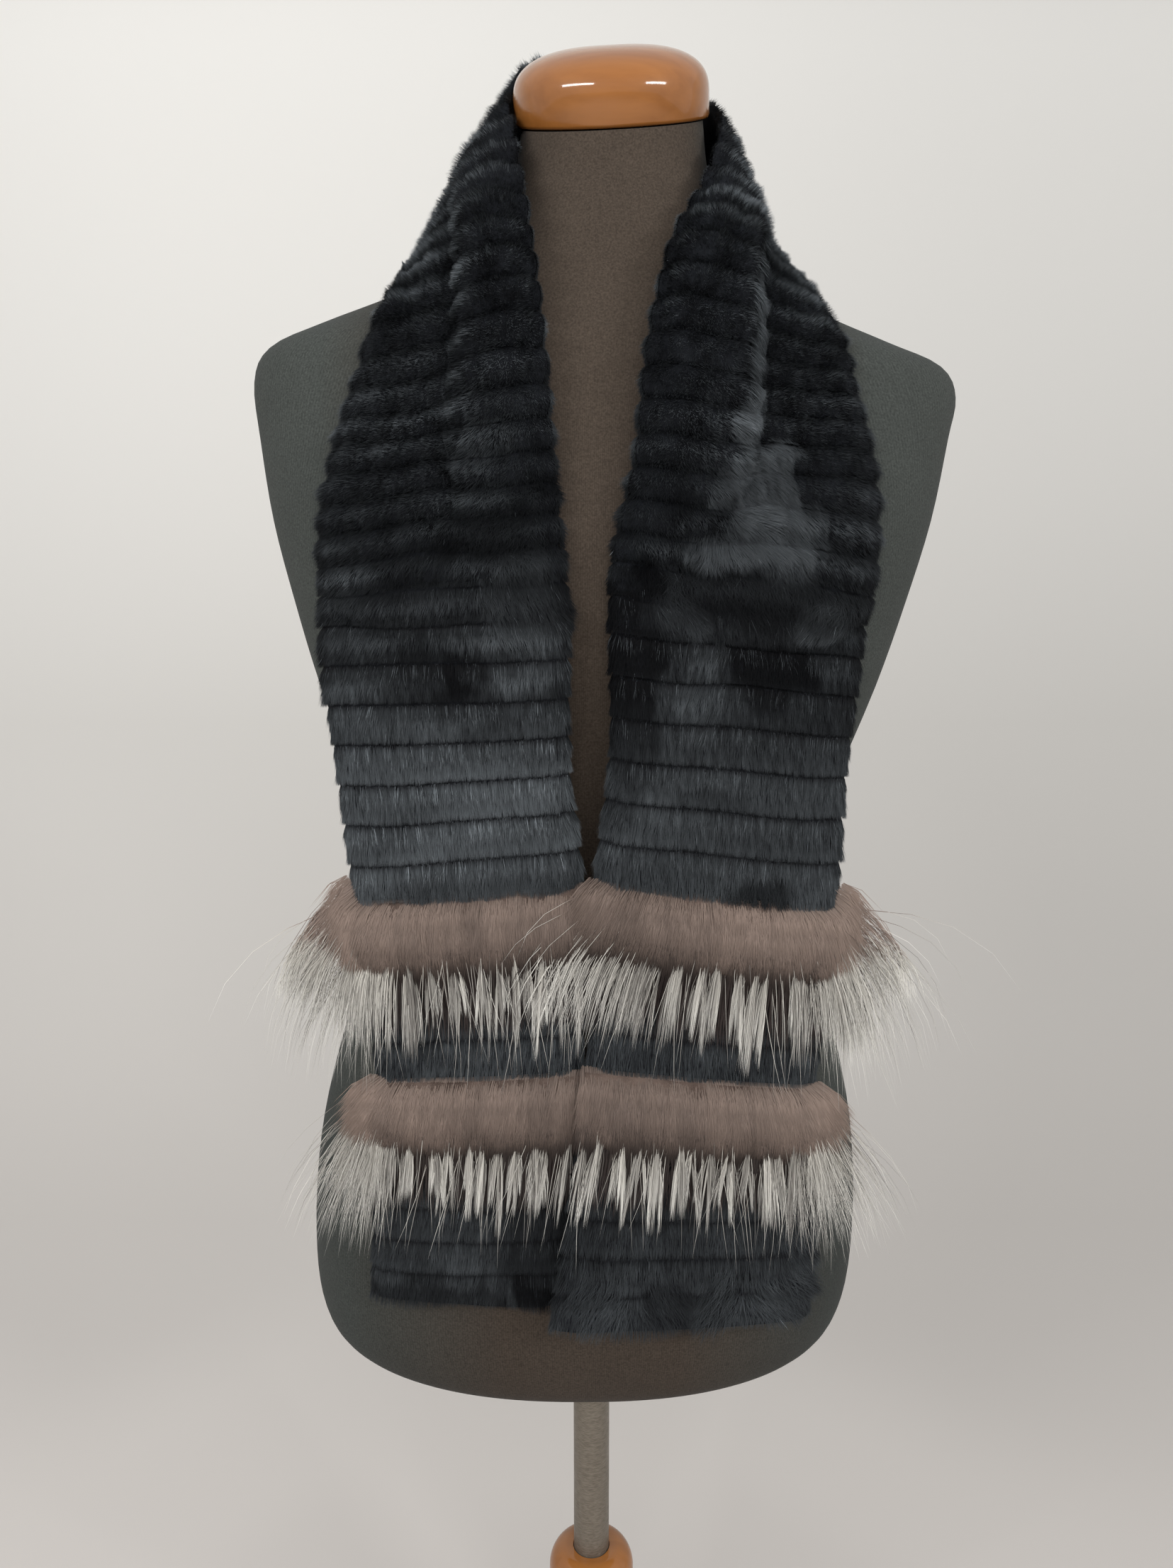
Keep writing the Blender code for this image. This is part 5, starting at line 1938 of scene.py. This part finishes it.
    def build(self) -> list[BVHTree]:
        """Makes the bust, its cap and stand.

        Returns:
            Search trees of the bust and the cap, for the scarf to keep clear of.
        """
        wood, jersey = WoodFinish().material(), JerseyFinish().material()
        metal = MetalFinish().material()
        meshes = {"torso": tube_mesh("torso", self.torso_rings()), "neck_cap": self.cap_mesh()}
        meshes |= self.stand_meshes()
        looks = {"torso": (jersey, "jersey"), "stand_pole": (metal, "grey_metal")}
        for name, mesh in meshes.items():
            look, slot = looks.get(name, (wood, "varnished_wood"))
            piece = add_piece(f"{name}_shown", mesh, look)
            mesh.set_sharp_from_angle(angle=math.radians(50))
            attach(piece, "root")
            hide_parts(name)
            LOG.info("%s: %s", name, look.name)
        return [search_tree(meshes[name]) for name in ("torso", "neck_cap")]


def search_tree(mesh: bpy.types.Mesh) -> BVHTree:
    """A search tree of a mesh's faces."""
    corners = [vertex.co.copy() for vertex in mesh.vertices]
    return BVHTree.FromPolygons(corners, [tuple(face.vertices) for face in mesh.polygons])


# -------------------- the studio
class Lamp(NamedTuple):
    """A soft rectangular lamp."""

    name: str
    place: Point
    target: Point  # what it is aimed at
    size: tuple[float, float]
    power: float  # in watts
    mirrored: bool  # whether glossy things mirror it


LAMPS = (
    Lamp("lamp_left", (-2.1, -2.5, 2.35), (0.0, 0.0, 1.0), (2.2, 0.34), 72.0, True),
    Lamp("lamp_right", (3.0, -2.5, 2.35), (0.0, 0.0, 1.0), (1.7, 0.34), 80.0, True),
    Lamp("fill", (0.3, -3.0, 2.2), (0.0, 0.0, 0.85), (2.4, 1.6), 66.0, False),
)


@dataclass
class Studio:
    """A pale floor that sweeps up behind, soft light and the camera."""

    camera_place: Point = (-0.0035, -0.739, 0.90)
    camera_tip: float = math.radians(80.0)
    lens: float = 27.03
    sensor_width: float = 36.0
    sky: Colour = (0.96, 0.97, 1.0)
    sky_strength: float = 0.62
    half_width: float = 9.0
    sweep_start: float = 0.8
    sweep_radius: float = 2.0
    wall_top: float = 4.5

    sweep_steps: int = 16

    def sweep(self) -> bpy.types.Object:
        """The floor and the wall behind, in one curve.

        Returns:
            The floor's object.
        """
        profile = [(-self.half_width, 0.0), (self.sweep_start, 0.0)]
        for step in range(1, self.sweep_steps + 1):
            angle = math.radians(90 * step / self.sweep_steps)
            y = self.sweep_start + self.sweep_radius * math.sin(angle)
            profile.append((y, self.sweep_radius * (1 - math.cos(angle))))
        profile.append((self.sweep_start + self.sweep_radius, self.wall_top))
        corners = [(x, y, z) for y, z in profile for x in (-self.half_width, self.half_width)]
        faces = [(2 * i, 2 * i + 1, 2 * i + 3, 2 * i + 2) for i in range(len(profile) - 1)]
        mesh = bpy.data.meshes.new("sweep")
        mesh.from_pydata(corners, [], faces)
        floor = add_piece("sweep", mesh, BackdropFinish().material())
        return floor

    def hang(self, lamp: Lamp) -> None:
        """Puts a lamp in the scene.

        Args:
            lamp: the lamp, its place and its aim.
        """
        light = bpy.data.lights.new(lamp.name, "AREA")
        light.shape = "RECTANGLE"
        light.size, light.size_y = lamp.size
        light.energy = lamp.power
        hung = bpy.data.objects.new(lamp.name, light)
        bpy.context.scene.collection.objects.link(hung)
        hung.location = lamp.place
        aim = Vector(lamp.target) - Vector(lamp.place)
        hung.rotation_euler = aim.to_track_quat("-Z", "Y").to_euler()
        hung.visible_glossy = lamp.mirrored

    def light(self) -> None:
        """Two lamps, a broad fill from the front and pale surroundings."""
        for lamp in LAMPS:
            self.hang(lamp)
        world = bpy.data.worlds.new("surroundings")
        world.use_nodes = True
        ground = world.node_tree.nodes["Background"]
        ground.inputs["Color"].default_value = (*self.sky, 1.0)
        ground.inputs["Strength"].default_value = self.sky_strength
        bpy.context.scene.world = world

    def shoot(self) -> None:
        """Puts the camera at the photograph's place."""
        lens = bpy.data.cameras.new("camera")
        lens.lens = self.lens
        lens.sensor_width = self.sensor_width
        camera = bpy.data.objects.new("camera", lens)
        bpy.context.scene.collection.objects.link(camera)
        camera.location = self.camera_place
        camera.rotation_euler = (self.camera_tip, 0.0, 0.0)
        bpy.context.scene.camera = camera
        bpy.context.scene.view_settings.view_transform = "Standard"

    def build(self) -> None:
        """Makes the whole studio."""
        self.sweep()
        self.light()
        self.shoot()
        LOG.info("studio: sweep, lamps and camera")


# -------------------- the whole scarf
class SideFur(NamedTuple):
    """How the fur of one side differs from the other's."""

    seed: int
    shade: float  # the strength of the painted blue-grey sheen on its fall's lower strips, lower on the right as painted shade
    inner_fan: float  # how far the upper band leans in at its inner end, in degrees
    hair_drop: float  # how far below the seam the upper band's hair ends
    droop: float  # how much of its fan the lower band's hair keeps


SIDE_FUR = {
    Side.LEFT: SideFur(200, 1.0, 3.0, 0.091, 0.74),
    Side.RIGHT: SideFur(300, 0.66, 43.0, 0.097, 0.48),
}
NECK_SEED = 100
NECK_HAIRS = 66000
FALL_HAIRS = 180000
MIDDLE_HAIRS = 14000
END_HAIRS = 26000
# the strength of the painted blue-grey sheen on the strips between and below the fox bands
MIDDLE_SHADE = 0.58
END_SHADE = 0.42
UPPER_FAN = 47.0
LOWER_FAN = 31.0


@dataclass
class Scarf:
    """All the scarf's pieces, from the back of the neck down to its two hems."""

    path: ScarfPath

    def stretches(self, side: Side, strip: float) -> list[ShearedStretch | FoxBand]:
        """The pieces of one side, from the side of the neck down.

        Args:
            side: which of the scarf's ends.
            strip: the nominal width of a strip, in metres.

        Returns:
            The fall, the strips between the fox bands, the end and the two bands.
        """
        layout, fur, name = Layout(self.path, side), SIDE_FUR[side], side.name.lower()
        fall = ShearedStretch(
            f"fall_{name}", layout.fall()[NECK_STRIPS:], FALL_HAIRS, fur.seed, strip,
            hang=0.0050, shade=fur.shade,
        )
        middle = ShearedStretch(
            f"middle_{name}", layout.middle(), MIDDLE_HAIRS, fur.seed + 30, strip,
            rise=0.0032, hang=0.0045, shade=MIDDLE_SHADE,
        )
        end = ShearedStretch(
            f"end_{name}", layout.end(), END_HAIRS, fur.seed + 60, strip,
            rise=0.0034, hang=0.0030, shade=END_SHADE,
        )
        upper = FoxBand(
            f"fox_upper_{name}", side, layout.upper_fox(), UPPER_FAN, fur.inner_fan,
            fur.seed + 70, hair_drop=fur.hair_drop,
        )
        lower = FoxBand(
            f"fox_lower_{name}", side, layout.lower_fox(), LOWER_FAN, 0.0,
            fur.seed + 85, splay=0.60, droop=fur.droop, perk=0.1,
        )
        return [fall, middle, end, upper, lower]

    def build(self) -> None:
        """Makes each stretch of strips and each fox band in turn."""
        necks = [Layout(self.path, side).fall()[: NECK_STRIPS + 1] for side in Side]
        neck = sorted({*necks[0], *necks[1]})
        strip = self.path.length_at(FOX_STATION[Side.RIGHT]) / FALL_STRIPS
        pieces: list[ShearedStretch | FoxBand] = []
        pieces.append(ShearedStretch("neck_wrap", neck, NECK_HAIRS, NECK_SEED, strip))
        for side in Side:
            pieces += self.stretches(side, strip)
        for piece in pieces:
            piece.build(self.path)


def clear_start() -> None:
    """Removes what a new file holds."""
    for thing in list(bpy.data.objects):
        bpy.data.objects.remove(thing, do_unlink=True)


def main() -> None:
    """Loads the frame, builds each part of the scene in turn and reports it."""
    logging.basicConfig(level=logging.INFO, format="%(message)s")
    clear_start()
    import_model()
    Scarf(ScarfPath(DressForm().build())).build()
    Studio().build()


if __name__ == "__main__":
    main()
